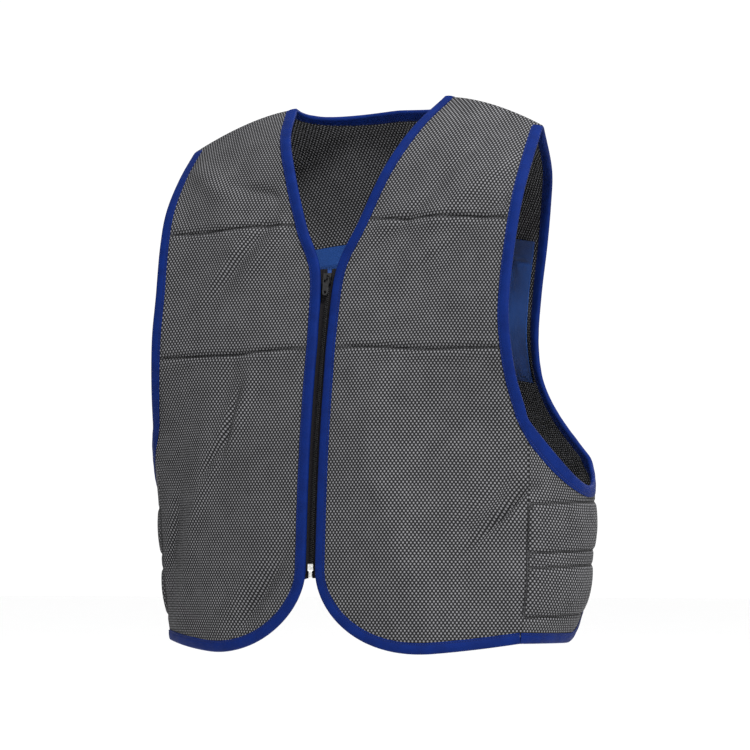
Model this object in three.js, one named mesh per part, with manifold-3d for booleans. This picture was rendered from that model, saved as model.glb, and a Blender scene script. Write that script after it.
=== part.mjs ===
// Cooling vest: a sleeveless zip-front vest of spacer mesh, bound all round in woven tape.
// Millimetres, +Z up, the front faces -Y and the wearer's left is +X.
// The origin is the middle of the neck opening, level with its corners on the shoulders.
import * as THREE from 'three';
import { mergeVertices } from 'three/addons/utils/BufferGeometryUtils.js';
import Module from 'manifold-3d';

// Heights, measured down from the neck corners
const LENGTH = 640;
const NECK_DEPTH = 200;
const SHOULDER_DROP = 43;
const ARM_JOIN_FRONT = 376;
const ARM_JOIN_BACK = 417;
const ARM_DIP = 52;
const SIDE_RISE = 16;
const SEAM_RISE = 46;
const BACK_RISE = 102;
const SIDE_LENGTH = LENGTH - SIDE_RISE;
const SEAM_LENGTH = LENGTH - SEAM_RISE;
const BACK_LENGTH = LENGTH - BACK_RISE;

// Widths from the middle plane, and depths from the shoulder line
const NECK_HALF = 101;
const HALF_WIDTH = 238;
const FRONT_DEPTH = 135;
const BACK_DEPTH = 154;
const BACK_NECK_DEPTH = 66;
const SIDE_BULGE = 41;

// Rounded lower corners of the fronts
const CORNER_WIDTH = 140;
const CORNER_HEIGHT = 88;

// The zip's tapes end this far below the start of the rounded corners
const ZIP_FOOT_DROP = 9;

// Cloth, binding and the gap kept between pieces
const MESH_THICK = 2.5;
const BIND_WIDTH = 12.6;
const BIND_THICK = 1.0;
const GAP = 0.3;

// Elastic bands in the side channels, from the hem up
const BAND_BASE = 28;
const BAND_HEIGHT = 54;
const BAND_GAP = 17;
const BAND_PUFF = 1.6;

// Pockets inside the back
const NYLON_THICK = 1.2;
const UPPER_POCKET_TOP = 144;
const UPPER_POCKET_HEIGHT = 164;
const POCKET_EASE = 0.9;
const POCKET_FULLNESS = 3;
const POCKET_SAG = 18;
const LOWER_POCKET_TOP = 366;
const LOWER_POCKET_HEIGHT = 150;
const LOWER_POCKET_HALF = 152;
const LOWER_POCKET_ROUND = 24;

// Zip
const ZIP_GAP_HALF = 6.7;
const TAPE_THICK = 0.7;
const TAPE_WIDTH = 15.5;
const TAPE_SPLAY = 3.2;
const SPLAY_LENGTH = 24;
const CHAIN_WIDTH = 5.4;
const CHAIN_THICK = 1.7;
const TOOTH_PITCH = 3.6;
const TOOTH_HEIGHT = 0.7;
const SLIDER_WIDTH = 10;
const SLIDER_LENGTH = 13;
const SLIDER_PLATE = 1.1;
const SLIDER_TAPER = 0.8;
const SLIDER_SHOULDER = 4;
const SLIDER_DROP = 6;
const LIP_THICK = 0.8;
const POST_WIDTH = 2.6;
const POST_LENGTH = 3.2;
const BRIDGE_WIDTH = 2.6;
const BRIDGE_LENGTH = 6;
const BRIDGE_SETBACK = 2.4;
const BRIDGE_BAR = 1.3;
const BRIDGE_ROOM = 2.5;
const PULL_WIDTH = 8.6;
const PULL_LENGTH = 21;
const PULL_THICK = 1.3;
const PULL_RAIL = 1.8;
const PULL_EYE = 5.2;
const PULL_WAIST = 0.86;
const PULL_HOLE = 1.8;
const BOX_WIDTH = 7;
const BOX_LENGTH = 8;
const BOX_THICK = 3.1;
const PIN_WIDTH = 4.2;
const PIN_LENGTH = 8;

const COVER = GAP + BIND_THICK;
const INSET = BIND_WIDTH - COVER;
const HALF_MESH = MESH_THICK / 2;
const MIN_SINE = 0.45;

// A table is one row of shares for each section, under named columns
function table(columns, rows) {
  const names = columns.split(' ');
  return rows.map((row) => Object.fromEntries(names.map((name, i) => [name, row[i]])));
}

// Front, from the hem up. neck_x is a share of NECK_HALF, the _fwd columns of FRONT_DEPTH and
// arm_x of HALF_WIDTH. A drop runs from 0 at the shoulder to 1 at the zip top or the armhole
// join, and to 2 at the hem. full and slope are the powers of the section's run across.
const FRONT_ROWS = table('neck_x neck_fwd neck_drop arm_x arm_fwd arm_drop full slope', [
  [0.000, 1.008, 2.000, 0.965, 0.500, 2.000, 2.6, 2.6],
  [0.000, 0.996, 1.820, 1.006, 0.505, 1.748, 2.6, 2.5],
  [0.000, 0.978, 1.702, 1.018, 0.515, 1.538, 2.5, 1.4],
  [0.000, 0.950, 1.560, 1.027, 0.530, 1.286, 2.4, 1.0],
  [0.000, 0.900, 1.400, 1.034, 0.600, 1.000, 2.2, 1.0],
  [0.000, 0.854, 1.292, 1.006, 0.705, 0.863, 2.1, 1.0],
  [0.000, 0.792, 1.167, 0.986, 0.757, 0.698, 2.0, 1.0],
  [0.053, 0.700, 1.000, 0.981, 0.712, 0.542, 2.0, 1.0],
  [0.293, 0.640, 0.753, 0.991, 0.620, 0.361, 1.8, 1.1],
  [0.569, 0.518, 0.431, 0.996, 0.505, 0.230, 1.6, 1.2],
  [0.812, 0.320, 0.192, 0.990, 0.310, 0.106, 1.3, 1.4],
  [1.000, 0.000, 0.000, 0.976, 0.100, 0.000, 1.0, 1.6],
]);

// Back, from the hem up. mid_back and arm_back are shares of BACK_DEPTH, mid_drop of BACK_LENGTH.
const BACK_ROWS = table('mid_back mid_drop arm_x arm_back arm_drop full slope corner', [
  [0.993, 1.000, 0.960, 0.568, 2.000, 2.6, 4.0, 0],
  [1.007, 0.926, 1.004, 0.554, 1.660, 2.5, 3.0, 0],
  [1.007, 0.843, 1.020, 0.541, 1.330, 2.4, 1.6, 0],
  [1.000, 0.762, 1.026, 0.527, 1.000, 2.3, 1.0, 1],
  [0.993, 0.703, 0.904, 0.545, 0.911, 2.2, 1.0, 0],
  [0.980, 0.645, 0.820, 0.566, 0.842, 2.1, 1.0, 0],
  [0.966, 0.573, 0.752, 0.582, 0.760, 2.1, 1.0, 0],
  [0.939, 0.465, 0.719, 0.595, 0.640, 2.0, 1.0, 0],
  [0.885, 0.344, 0.735, 0.596, 0.490, 2.0, 1.0, 0],
  [0.791, 0.212, 0.783, 0.555, 0.331, 2.0, 1.0, 0],
  [0.642, 0.098, 0.830, 0.474, 0.211, 1.9, 1.2, 0],
  [0.446, 0.006, 0.880, 0.345, 0.125, 1.8, 1.6, 0],
  [0.000, 0.000, 0.976, -0.088, 0.000, 1.0, 1.6, 0],
]);

// Bulge of the side past its two seams, as shares of SIDE_BULGE, from the hem up
const SIDE_ROWS = table('up bulge', [
  [0.00, 0.50],
  [0.15, 0.84],
  [0.35, 0.96],
  [0.60, 1.04],
  [1.00, 1.00],
]);

// Soft folds of a front: side is 1 for the wearer's left and -1 for the right. x is a share of
// HALF_WIDTH and drop of LENGTH. lean turns the fold from upright towards the arm.
const FRONT_FOLDS = table('side x drop lean length width depth', [
  [1, 0.88, 0.735, 42, 62, 13, -6.0],
  [1, 0.76, 0.835, 30, 70, 30, -6.0],
  [1, 0.62, 0.200, 38, 95, 26, 4.0],
  [1, 0.52, 0.330, 30, 80, 28, -3.5],
  [1, 0.30, 0.640, -8, 130, 45, 3.5],
  [-1, 0.53, 0.520, -22, 48, 12, -5.0],
  [-1, 0.62, 0.600, -30, 60, 24, 4.0],
  [-1, 0.86, 0.820, -20, 55, 16, -5.0],
  [-1, 0.60, 0.230, 32, 70, 24, 4.0],
  [-1, 0.30, 0.900, -35, 60, 24, -4.0],
]);

const BACK_FOLDS = table('side x drop lean length width depth', [
  [1, 0.55, 0.62, 18, 110, 28, 5.0],
  [1, 0.30, 0.78, 8, 120, 34, -4.5],
  [-1, 0.48, 0.66, -14, 120, 30, 5.0],
  [-1, 0.20, 0.80, -4, 110, 32, -4.0],
  [-1, 0.62, 0.30, 30, 70, 24, 3.5],
]);

const lerp = THREE.MathUtils.lerp;

function vec(x, y, z) {
  return new THREE.Vector3(x, y, z);
}

function neckDrop(share) {
  return share <= 1 ? -share * NECK_DEPTH : -lerp(NECK_DEPTH, LENGTH, share - 1);
}

function armDrop(share, join, hem) {
  return share <= 1 ? -lerp(SHOULDER_DROP, join, share) : -lerp(join, hem, share - 1);
}

// Hermite curve through numbers given at growing stations, with a corner where one is marked
function smooth(stations, values, corners, at) {
  let k = 0;
  while (k < stations.length - 2 && at > stations[k + 1]) k += 1;
  const slope = (i) => (values[i + 1] - values[i]) / (stations[i + 1] - stations[i]);
  const tangent = (i, side) => {
    if (i === 0) return slope(0);
    if (i === stations.length - 1) return slope(i - 1);
    if (corners && corners[i]) return side > 0 ? slope(i) : slope(i - 1);
    const before = stations[i] - stations[i - 1];
    const after = stations[i + 1] - stations[i];
    return (slope(i - 1) * after + slope(i) * before) / (before + after);
  };
  const span = stations[k + 1] - stations[k];
  const t = (at - stations[k]) / span;
  const t2 = t * t;
  const t3 = t2 * t;
  return (2 * t3 - 3 * t2 + 1) * values[k] + (t3 - 2 * t2 + t) * span * tangent(k, 1)
    + (3 * t2 - 2 * t3) * values[k + 1] + (t3 - t2) * span * tangent(k + 1, -1);
}

// Share of the way up at each row, from the mean distance between the rows' two ends
function rowStations(inner, outer) {
  const reach = [0];
  for (let k = 1; k < inner.length; k += 1) {
    const step = (inner[k].distanceTo(inner[k - 1]) + outer[k].distanceTo(outer[k - 1])) / 2;
    reach.push(reach[k - 1] + step);
  }
  const height = reach[reach.length - 1];
  return { height, ups: reach.map((value) => value / height) };
}

// Outward push of the soft folds at a place on a panel
function foldPush(folds, side, x, z) {
  let push = 0;
  for (const fold of folds) {
    if (fold.side === side) {
      const lean = THREE.MathUtils.degToRad(fold.lean);
      const dx = x - fold.x * HALF_WIDTH;
      const dz = z + fold.drop * LENGTH;
      const along = dx * Math.sin(lean) + dz * Math.cos(lean);
      const across = dx * Math.cos(lean) - dz * Math.sin(lean);
      push += fold.depth * Math.exp(-((along / fold.length) ** 2) - (across / fold.width) ** 2);
    }
  }
  return push;
}

function unitNormal(point, across, up) {
  const step = 0.002;
  const a = point(Math.max(across - step, 0), up);
  const b = point(Math.min(across + step, 1), up);
  const c = point(across, Math.max(up - step, 0));
  const d = point(across, Math.min(up + step, 1));
  return b.sub(a).cross(d.sub(c)).normalize();
}

// Front surface: across runs from the zip or neckline to the side, up from the hem to the shoulder
const frontInner = FRONT_ROWS.map((row) => vec(
  lerp(ZIP_GAP_HALF + COVER, NECK_HALF, row.neck_x),
  -row.neck_fwd * FRONT_DEPTH,
  neckDrop(row.neck_drop),
));
const frontOuter = FRONT_ROWS.map((row) => vec(
  row.arm_x * HALF_WIDTH,
  -row.arm_fwd * FRONT_DEPTH,
  armDrop(row.arm_drop, ARM_JOIN_FRONT, SIDE_LENGTH),
));
const frontUps = rowStations(frontInner, frontOuter);
const FRONT_JOIN = frontUps.ups[FRONT_ROWS.findIndex((row) => row.arm_drop === 1)];

function frontBase(across, up) {
  const at = (values) => smooth(frontUps.ups, values, null, up);
  const x0 = at(frontInner.map((p) => p.x));
  const x1 = at(frontOuter.map((p) => p.x));
  const y0 = at(frontInner.map((p) => p.y));
  const y1 = at(frontOuter.map((p) => p.y));
  const z0 = at(frontInner.map((p) => p.z));
  const z1 = at(frontOuter.map((p) => p.z));
  const full = at(FRONT_ROWS.map((row) => row.full));
  const slope = at(FRONT_ROWS.map((row) => row.slope));
  const run = Math.max(across, 0);
  return vec(lerp(x0, x1, run), lerp(y0, y1, run ** full), lerp(z0, z1, run ** slope));
}

// Folds fade out at the seams, the shoulder and the bound edges
function fade(across, up) {
  const edge = (value, reach) => THREE.MathUtils.smoothstep(value, 0, reach);
  return edge(across, 0.1) * edge(1 - across, 0.12) * edge(1 - up, 0.12) * edge(up, 0.04);
}

function frontSurface(side) {
  return (across, up) => {
    const point = frontBase(across, up);
    const push = foldPush(FRONT_FOLDS, side, point.x, point.z) * fade(across, up);
    const normal = unitNormal(frontBase, across, up);
    return push === 0 ? point : point.addScaledVector(normal, push);
  };
}

// Back surface: across runs from the middle to the side, up from the hem to the shoulder line
const backInner = BACK_ROWS.map((row) => vec(
  0,
  row.mid_back * BACK_DEPTH,
  -row.mid_drop * BACK_LENGTH,
));
const backOuter = BACK_ROWS.map((row) => vec(
  row.arm_x * HALF_WIDTH,
  row.arm_back * BACK_DEPTH,
  armDrop(row.arm_drop, ARM_JOIN_BACK, SEAM_LENGTH),
));
const backUps = rowStations(backInner, backOuter);
const backCorners = BACK_ROWS.map((row) => row.corner);
const BACK_JOIN = backUps.ups[BACK_ROWS.findIndex((row) => row.arm_drop === 1)];

// Shoulder line at a width x, shared by the front and the back
function shoulderLine(x) {
  const tip = frontOuter[frontOuter.length - 1];
  const share = (x - NECK_HALF) / (tip.x - NECK_HALF);
  const slope = FRONT_ROWS[FRONT_ROWS.length - 1].slope;
  return vec(x, tip.y * share, -SHOULDER_DROP * Math.max(share, 0) ** slope);
}

function backBase(across, up) {
  const last = BACK_ROWS.length - 1;
  const points = BACK_ROWS.map((row, k) => {
    const x = across * backOuter[k].x;
    if (k === last) return shoulderLine(x);
    return vec(
      x,
      lerp(backInner[k].y, backOuter[k].y, Math.max(across, 0) ** row.full),
      lerp(backInner[k].z, backOuter[k].z, Math.max(across, 0) ** row.slope),
    );
  });
  const at = (values) => smooth(backUps.ups, values, backCorners, up);
  return vec(
    at(points.map((p) => p.x)),
    at(points.map((p) => p.y)),
    at(points.map((p) => p.z)),
  );
}

function backSurface(side) {
  return (across, up) => {
    const point = backBase(across, up);
    const push = foldPush(BACK_FOLDS, side, point.x, point.z) * fade(1, up)
      * THREE.MathUtils.smoothstep(across, 0, 0.1) * THREE.MathUtils.smoothstep(1 - across, 0, 0.12);
    const normal = unitNormal(backBase, across, up).negate();
    return push === 0 ? point : point.addScaledVector(normal, push);
  };
}

// Shares across the side between which its hem rises to the back seam, and the share up the side
// by which the rise is spread evenly across
const RISE_START = 0.55;
const RISE_END = 1;
const RISE_FADE = 0.5;

// Side surface: across runs from the front seam to the back seam, up from the hem to the armhole
function sidePoint(across, up) {
  const front = frontBase(1, up * FRONT_JOIN);
  const back = backBase(1, up * BACK_JOIN);
  const bulge = SIDE_BULGE * smooth(SIDE_ROWS.map((r) => r.up), SIDE_ROWS.map((r) => r.bulge), null, up);
  const span = back.y - front.y;
  const lead = 0.33;
  const curve = new THREE.CubicBezierCurve3(
    front,
    vec(front.x + bulge, front.y + lead * span, front.z),
    vec(back.x + bulge, back.y - lead * span, back.z),
    back,
  );
  const point = curve.getPoint(across);
  const late = THREE.MathUtils.smoothstep(across, RISE_START, RISE_END);
  point.z = lerp(front.z, back.z, lerp(late, across, Math.min(up / RISE_FADE, 1)));
  const dip = Math.sin(Math.PI * THREE.MathUtils.clamp(across, 0, 1)) ** 0.85;
  point.z -= ARM_DIP * dip * up * up;
  return point;
}

// Bands of elastic stand a little proud between their stitch lines
function bandPush(height) {
  let push = 0;
  for (const base of [BAND_BASE, BAND_BASE + BAND_HEIGHT + BAND_GAP]) {
    const share = (height - base) / BAND_HEIGHT;
    if (share > 0 && share < 1) push += BAND_PUFF * Math.sin(Math.PI * share);
  }
  return push;
}

const SEAM_HEIGHT = FRONT_JOIN * frontUps.height;

function sideSurface(across, up) {
  const point = sidePoint(across, up);
  const normal = unitNormal(sidePoint, across, up);
  const fadeOut = THREE.MathUtils.smoothstep(Math.min(across, 1 - across), 0, 0.12);
  return point.addScaledVector(normal, bandPush(up * SEAM_HEIGHT) * fadeOut);
}

// Heights of the rows along the side seams, from the hem to the armhole join
const SEAM_ROWS = [
  0,
  INSET,
  BAND_BASE,
  BAND_BASE + BAND_HEIGHT / 2,
  BAND_BASE + BAND_HEIGHT,
  BAND_BASE + BAND_HEIGHT + BAND_GAP,
  BAND_BASE + 1.5 * BAND_HEIGHT + BAND_GAP,
  BAND_BASE + 2 * BAND_HEIGHT + BAND_GAP,
].map((height) => height / SEAM_HEIGHT);
const TOP_INSET = 0.93;
SEAM_ROWS.push((SEAM_ROWS[SEAM_ROWS.length - 1] + TOP_INSET) / 2, TOP_INSET, 1);
const SEAM_COUNT = SEAM_ROWS.length - 1;
const FRONT_ARM_ROWS = 11;
const FRONT_COLUMNS = 9;
const BACK_ARM_ROWS = 12;
const NECK_COLUMNS = 12;
const SHOULDER_COLUMNS = 5;
const SIDE_COLUMNS = 8;

// Distance along a row that keeps a bound edge's inset square to that edge
function squareInset(point, across, up, inward) {
  const step = 0.004;
  const here = point(across, up);
  const alongEdge = point(across, Math.min(up + step, 1)).sub(point(across, Math.max(up - step, 0)));
  const alongRow = point(across + inward * step, up).sub(here);
  const rowWay = alongRow.normalize();
  const sine = alongEdge.normalize().cross(rowWay).length();
  return (INSET * Math.abs(rowWay.x)) / Math.max(sine, MIN_SINE);
}

// Turns the square corner of a panel into a round one and keeps each line's distance to the edge
function roundCorner(a, b) {
  const p = a / CORNER_WIDTH;
  const q = b / CORNER_HEIGHT;
  const ring = Math.min(p, q);
  const radius = 1 - ring;
  if (radius <= 0 || Math.max(p, q) >= 1) return [a, b];
  const turn = (Math.PI / 4) * (1 - (Math.max(p, q) - ring) / radius);
  const near = 1 - radius * Math.cos(turn);
  const far = 1 - radius * Math.sin(turn);
  return q >= p ? [near * CORNER_WIDTH, far * CORNER_HEIGHT] : [far * CORNER_WIDTH, near * CORNER_HEIGHT];
}

// A panel is a grid of middle points with a normal at each
function makeGrid(columns, rows, place) {
  const points = [];
  const normals = [];
  for (let j = 0; j <= rows; j += 1) {
    points.push([]);
    normals.push([]);
    for (let i = 0; i <= columns; i += 1) {
      const { point, normal } = place(i, j);
      points[j].push(point);
      normals[j].push(normal);
    }
  }
  return { points, normals, columns, rows };
}

function mirrored(grid) {
  const flip = (rows) => rows.map((row) => row.map((p) => vec(-p.x, p.y, p.z)));
  return { ...grid, points: flip(grid.points), normals: flip(grid.normals) };
}

// Moves a point towards its neighbour by half the gap, so that two panels keep a seam between them
function drawBack(point, neighbour) {
  return point.clone().addScaledVector(neighbour.clone().sub(point).normalize(), GAP / 2);
}

// Share of the way up of a side's row: the last but one follows the armhole at the binding's inset
function sideRowUp(across, j) {
  if (j !== SEAM_COUNT - 1) return SEAM_ROWS[j];
  const step = 0.004;
  const top = sidePoint(across, 1);
  const alongEdge = sidePoint(Math.min(across + step, 1), 1).sub(sidePoint(Math.max(across - step, 0), 1));
  const down = sidePoint(across, 1 - step).sub(top);
  const sine = alongEdge.normalize().cross(down.clone().normalize()).length();
  return 1 - (INSET / Math.max(sine, MIN_SINE)) * (step / down.length());
}

function rowUp(j, join, across, armRows) {
  return j <= SEAM_COUNT ? sideRowUp(across, j) * join : lerp(join, 1, (j - SEAM_COUNT) / armRows);
}

function shoulderNormal(x) {
  const step = 1;
  const fall = shoulderLine(x + step).z - shoulderLine(x).z;
  return vec(-fall / step, 0, 1).normalize();
}

function frontGrid(side) {
  const surface = frontSurface(side);
  const rows = SEAM_COUNT + FRONT_ARM_ROWS;
  const height = frontUps.height;
  const grid = makeGrid(FRONT_COLUMNS, rows, (i, j) => {
    const level = rowUp(j, FRONT_JOIN, 0, FRONT_ARM_ROWS);
    const width = frontBase(1, level).x - frontBase(0, level).x;
    const inner = level * height < CORNER_HEIGHT ? INSET : squareInset(frontBase, 0, level, 1);
    const outer = j < SEAM_COUNT ? INSET : squareInset(frontBase, 1, level, -1);
    let reach = lerp(inner, width - outer, (i - 1) / (FRONT_COLUMNS - 2));
    if (i === 0) reach = 0;
    if (i === FRONT_COLUMNS) reach = width;
    const [a, b] = roundCorner(reach, level * height);
    const across = a / width;
    const up = b / height;
    return { point: surface(across, up), normal: unitNormal(surface, across, up) };
  });
  grid.underArm = true;
  const p = grid.points;
  p[1][0] = p[0][0].clone().lerp(p[2][0], 0.5);
  p[0][1] = p[0][0].clone().lerp(p[0][2], 0.5);
  for (let j = 0; j <= SEAM_COUNT; j += 1) {
    const last = FRONT_COLUMNS;
    p[j][last] = drawBack(p[j][last], p[j][last - 1]);
  }
  for (let i = 0; i <= FRONT_COLUMNS; i += 1) {
    grid.normals[rows][i] = shoulderNormal(p[rows][i].x);
    p[rows][i] = p[rows][i].clone().add(vec(0, -GAP / 2, 0));
  }
  return grid;
}

function sideGrid() {
  const grid = makeGrid(SIDE_COLUMNS, SEAM_COUNT, (i, j) => {
    const across = i / SIDE_COLUMNS;
    const up = sideRowUp(across, j);
    return { point: sideSurface(across, up), normal: unitNormal(sideSurface, across, up) };
  });
  for (const row of grid.points) {
    const last = SIDE_COLUMNS;
    row[0] = drawBack(row[0], row[1]);
    row[last] = drawBack(row[last], row[last - 1]);
  }
  return grid;
}

// Share of the way down the back at which a test of the middle line first holds
function firstDown(test) {
  let down = 0;
  const step = 0.001;
  while (!test(backBase(0, 1 - down))) down += step;
  return down;
}

const neckScoop = firstDown((p) => p.y >= BACK_NECK_DEPTH);
const neckMiddle = backBase(0, 1 - neckScoop);
const neckInset = firstDown((p) => p.z < neckMiddle.z && p.distanceTo(neckMiddle) >= INSET);

// A place on the back, by width and share of the way up, on either side
function backPlace(x, up) {
  const sign = x < 0 ? -1 : 1;
  const surface = backSurface(sign);
  const across = Math.min(Math.abs(x) / backBase(1, up).x, 1);
  const point = surface(across, up);
  const normal = unitNormal(surface, across, up).negate();
  return { point: vec(sign * point.x, point.y, point.z), normal: vec(sign * normal.x, normal.y, normal.z) };
}

// The rows hang from the scoop's inset in the middle and from the shoulder line beside it.
// The strip between the inset and the neck edge is added on top.
function backGrid() {
  const tip = backOuter[backOuter.length - 1].x;
  const innerTop = tip - squareInset(backBase, 1, 1, -1);
  const half = [];
  for (let i = 0; i <= NECK_COLUMNS / 2; i += 1) {
    const turn = (Math.PI / 2) * (1 - i / (NECK_COLUMNS / 2));
    half.push({ x: (NECK_HALF + INSET) * Math.cos(turn), top: 1 - neckInset * Math.sin(turn) });
  }
  for (let i = 1; i < SHOULDER_COLUMNS; i += 1) {
    half.push({ x: lerp(NECK_HALF + INSET, innerTop, i / (SHOULDER_COLUMNS - 1)), top: 1 });
  }
  half.push({ x: tip, top: 1, edge: true });
  const other = half.slice(1).reverse().map((column) => ({ ...column, sign: -1 }));
  const columns = [...other, ...half.map((column) => ({ ...column, sign: 1 }))];
  const rows = SEAM_COUNT + BACK_ARM_ROWS;
  const insideWidth = (up) => {
    const inset = up < BACK_JOIN ? INSET : squareInset(backBase, 1, up, -1);
    return backBase(1, up).x - inset;
  };
  const grid = makeGrid(columns.length - 1, rows, (i, j) => {
    const column = columns[i];
    const level = rowUp(j, BACK_JOIN, 1, BACK_ARM_ROWS);
    const lift = Math.max((level - BACK_JOIN) / (1 - BACK_JOIN), 0);
    const up = lift === 0 ? level : lerp(BACK_JOIN, column.top, lift);
    const share = column.x / innerTop;
    const settle = lift * lift * (column.x - share * insideWidth(column.top));
    const x = column.edge ? backBase(1, up).x : share * insideWidth(up) + settle;
    return backPlace(column.sign * x, up);
  });
  grid.neckEdge = { points: [], normals: [] };
  for (let k = 0; k <= NECK_COLUMNS; k += 1) {
    const turn = Math.PI * (1 - k / NECK_COLUMNS);
    const { point, normal } = backPlace(NECK_HALF * Math.cos(turn), 1 - neckScoop * Math.sin(turn));
    grid.neckEdge.points.push(point);
    grid.neckEdge.normals.push(normal);
  }
  grid.neckFirst = SHOULDER_COLUMNS;
  grid.neckLast = grid.columns - SHOULDER_COLUMNS;
  const p = grid.points;
  for (let j = 0; j <= SEAM_COUNT; j += 1) {
    const last = grid.columns;
    p[j][0] = drawBack(p[j][0], p[j][1]);
    p[j][last] = drawBack(p[j][last], p[j][last - 1]);
  }
  const settleOnShoulder = (point, normal) => {
    normal.copy(shoulderNormal(Math.abs(point.x)));
    if (point.x < 0) normal.x *= -1;
    point.y += GAP / 2;
  };
  for (let i = 0; i <= grid.columns; i += 1) {
    if (i <= grid.neckFirst || i >= grid.neckLast) settleOnShoulder(p[rows][i], grid.normals[rows][i]);
  }
  for (const k of [0, NECK_COLUMNS]) settleOnShoulder(grid.neckEdge.points[k], grid.neckEdge.normals[k]);
  return grid;
}

// Two panels share one normal along their seam, so that their end walls stay parallel
function shareNormals(a, columnA, b, columnB) {
  for (let j = 0; j <= SEAM_COUNT; j += 1) {
    const mean = a.normals[j][columnA].clone().add(b.normals[j][columnB]).normalize();
    a.normals[j][columnA] = mean;
    b.normals[j][columnB] = mean.clone();
  }
}

// Closed mesh from points and triangles, turned so that its faces point out
function closedGeometry(points, triangles) {
  let volume = 0;
  const cross = vec(0, 0, 0);
  for (const [a, b, c] of triangles) {
    volume += points[a].dot(cross.crossVectors(points[b], points[c]));
  }
  const index = [];
  for (const [a, b, c] of triangles) index.push(...(volume < 0 ? [a, c, b] : [a, b, c]));
  const geometry = new THREE.BufferGeometry();
  geometry.setAttribute('position', new THREE.Float32BufferAttribute(points.flatMap((p) => p.toArray()), 3));
  geometry.setIndex(index);
  return geometry;
}

// True where the first diagonal of a four-cornered cell is the shorter, so that a binding's legs
// split their cells as the panel below them does
function firstDiagonal(a, b, c, d) {
  return a.distanceToSquared(c) <= b.distanceToSquared(d);
}

// Gives a sheet of cells its thickness: two faces along the normals and a wall round the edge.
// A cell has four corners, or three where a panel has to fold along one line.
function thicken(middles, normals, cells, thickness) {
  const count = middles.length;
  const face = (way) => middles.map((p, i) => p.clone().addScaledVector(normals[i], (way * thickness) / 2));
  const points = [...face(1), ...face(-1)];
  const triangles = [];
  const open = new Map();
  for (const cell of cells) {
    const [a, b, c, d] = cell;
    let halves = [cell];
    if (cell.length === 4) {
      const even = firstDiagonal(...cell.map((i) => middles[i]));
      halves = even ? [[a, b, c], [a, c, d]] : [[b, c, d], [b, d, a]];
    }
    for (const [p, q, r] of halves) triangles.push([p, q, r], [count + p, count + r, count + q]);
    cell.forEach((from, k) => {
      const to = cell[(k + 1) % cell.length];
      if (open.has(`${to} ${from}`)) open.delete(`${to} ${from}`);
      else open.set(`${from} ${to}`, [from, to]);
    });
  }
  for (const [from, to] of open.values()) {
    triangles.push([to, from, count + from], [to, count + from, count + to]);
  }
  return closedGeometry(points, triangles);
}

// Cells of a grid. A front's cell under the armhole folds along the line of the binding's inset.
function gridCells(grid) {
  const width = grid.columns + 1;
  const cells = [];
  for (let j = 0; j < grid.rows; j += 1) {
    for (let i = 0; i < grid.columns; i += 1) {
      const a = j * width + i;
      const [b, c, d] = [a + 1, a + width + 1, a + width];
      const folded = grid.underArm && j === SEAM_COUNT - 1 && i === grid.columns - 1;
      if (folded) cells.push([a, b, d], [b, c, d]);
      else cells.push([a, b, c, d]);
    }
  }
  return cells;
}

function panelGeometry(grid, thickness) {
  const middles = grid.points.flat();
  const normals = grid.normals.flat();
  const cells = gridCells(grid);
  if (grid.neckEdge) {
    const first = grid.rows * (grid.columns + 1) + grid.neckFirst;
    const added = middles.length;
    middles.push(...grid.neckEdge.points);
    normals.push(...grid.neckEdge.normals);
    for (let k = 0; k < NECK_COLUMNS; k += 1) {
      cells.push([first + k, first + k + 1, added + k + 1, added + k]);
    }
  }
  return thicken(middles, normals, cells, thickness);
}

// A stop of the binding: a point on a panel's edge, its inset on the panel and the two normals
function stop(edge, edgeNormal, inset, insetNormal) {
  return { edge, edgeNormal, inset, insetNormal };
}

function gridStop(grid, i, j, insideI, insideJ) {
  const { points, normals } = grid;
  return stop(points[j][i], normals[j][i], points[insideJ][insideI], normals[insideJ][insideI]);
}

// Neckline, zip edge, round corner and hem of a front, from the shoulder to the side seam
function frontStops(grid) {
  const stops = [];
  for (let j = grid.rows; j >= 2; j -= 1) stops.push(gridStop(grid, 0, j, 1, j));
  const between = (i, j) => {
    const share = 0.35;
    return {
      point: grid.points[1][1].clone().lerp(grid.points[j][i], share),
      normal: grid.normals[1][1].clone().lerp(grid.normals[j][i], share).normalize(),
    };
  };
  const above = between(1, 2);
  const beside = between(2, 1);
  stops.push(stop(grid.points[1][0], grid.normals[1][0], above.point, above.normal));
  stops.push(gridStop(grid, 0, 0, 1, 1));
  stops.push(stop(grid.points[0][1], grid.normals[0][1], beside.point, beside.normal));
  for (let i = 2; i <= grid.columns; i += 1) stops.push(gridStop(grid, i, 0, i, 1));
  return stops;
}

function hemStops(grid) {
  const stops = [];
  for (let i = 0; i <= grid.columns; i += 1) stops.push(gridStop(grid, i, 0, i, 1));
  return stops;
}

function neckStops(grid) {
  return grid.neckEdge.points.map((point, k) => {
    const i = grid.neckFirst + k;
    return stop(point, grid.neckEdge.normals[k], grid.points[grid.rows][i], grid.normals[grid.rows][i]);
  });
}

// Round an armhole: up the front, over the shoulder, down the back and through the side
function armStops(front, side, back, backEdge, backInside) {
  const stops = [];
  const last = front.columns;
  for (let j = SEAM_COUNT; j <= front.rows; j += 1) stops.push(gridStop(front, last, j, last - 1, j));
  for (let j = back.rows; j >= SEAM_COUNT; j -= 1) stops.push(gridStop(back, backEdge, j, backInside, j));
  for (let i = side.columns; i >= 0; i -= 1) stops.push(gridStop(side, i, SEAM_COUNT, i, SEAM_COUNT - 1));
  return stops;
}

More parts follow.
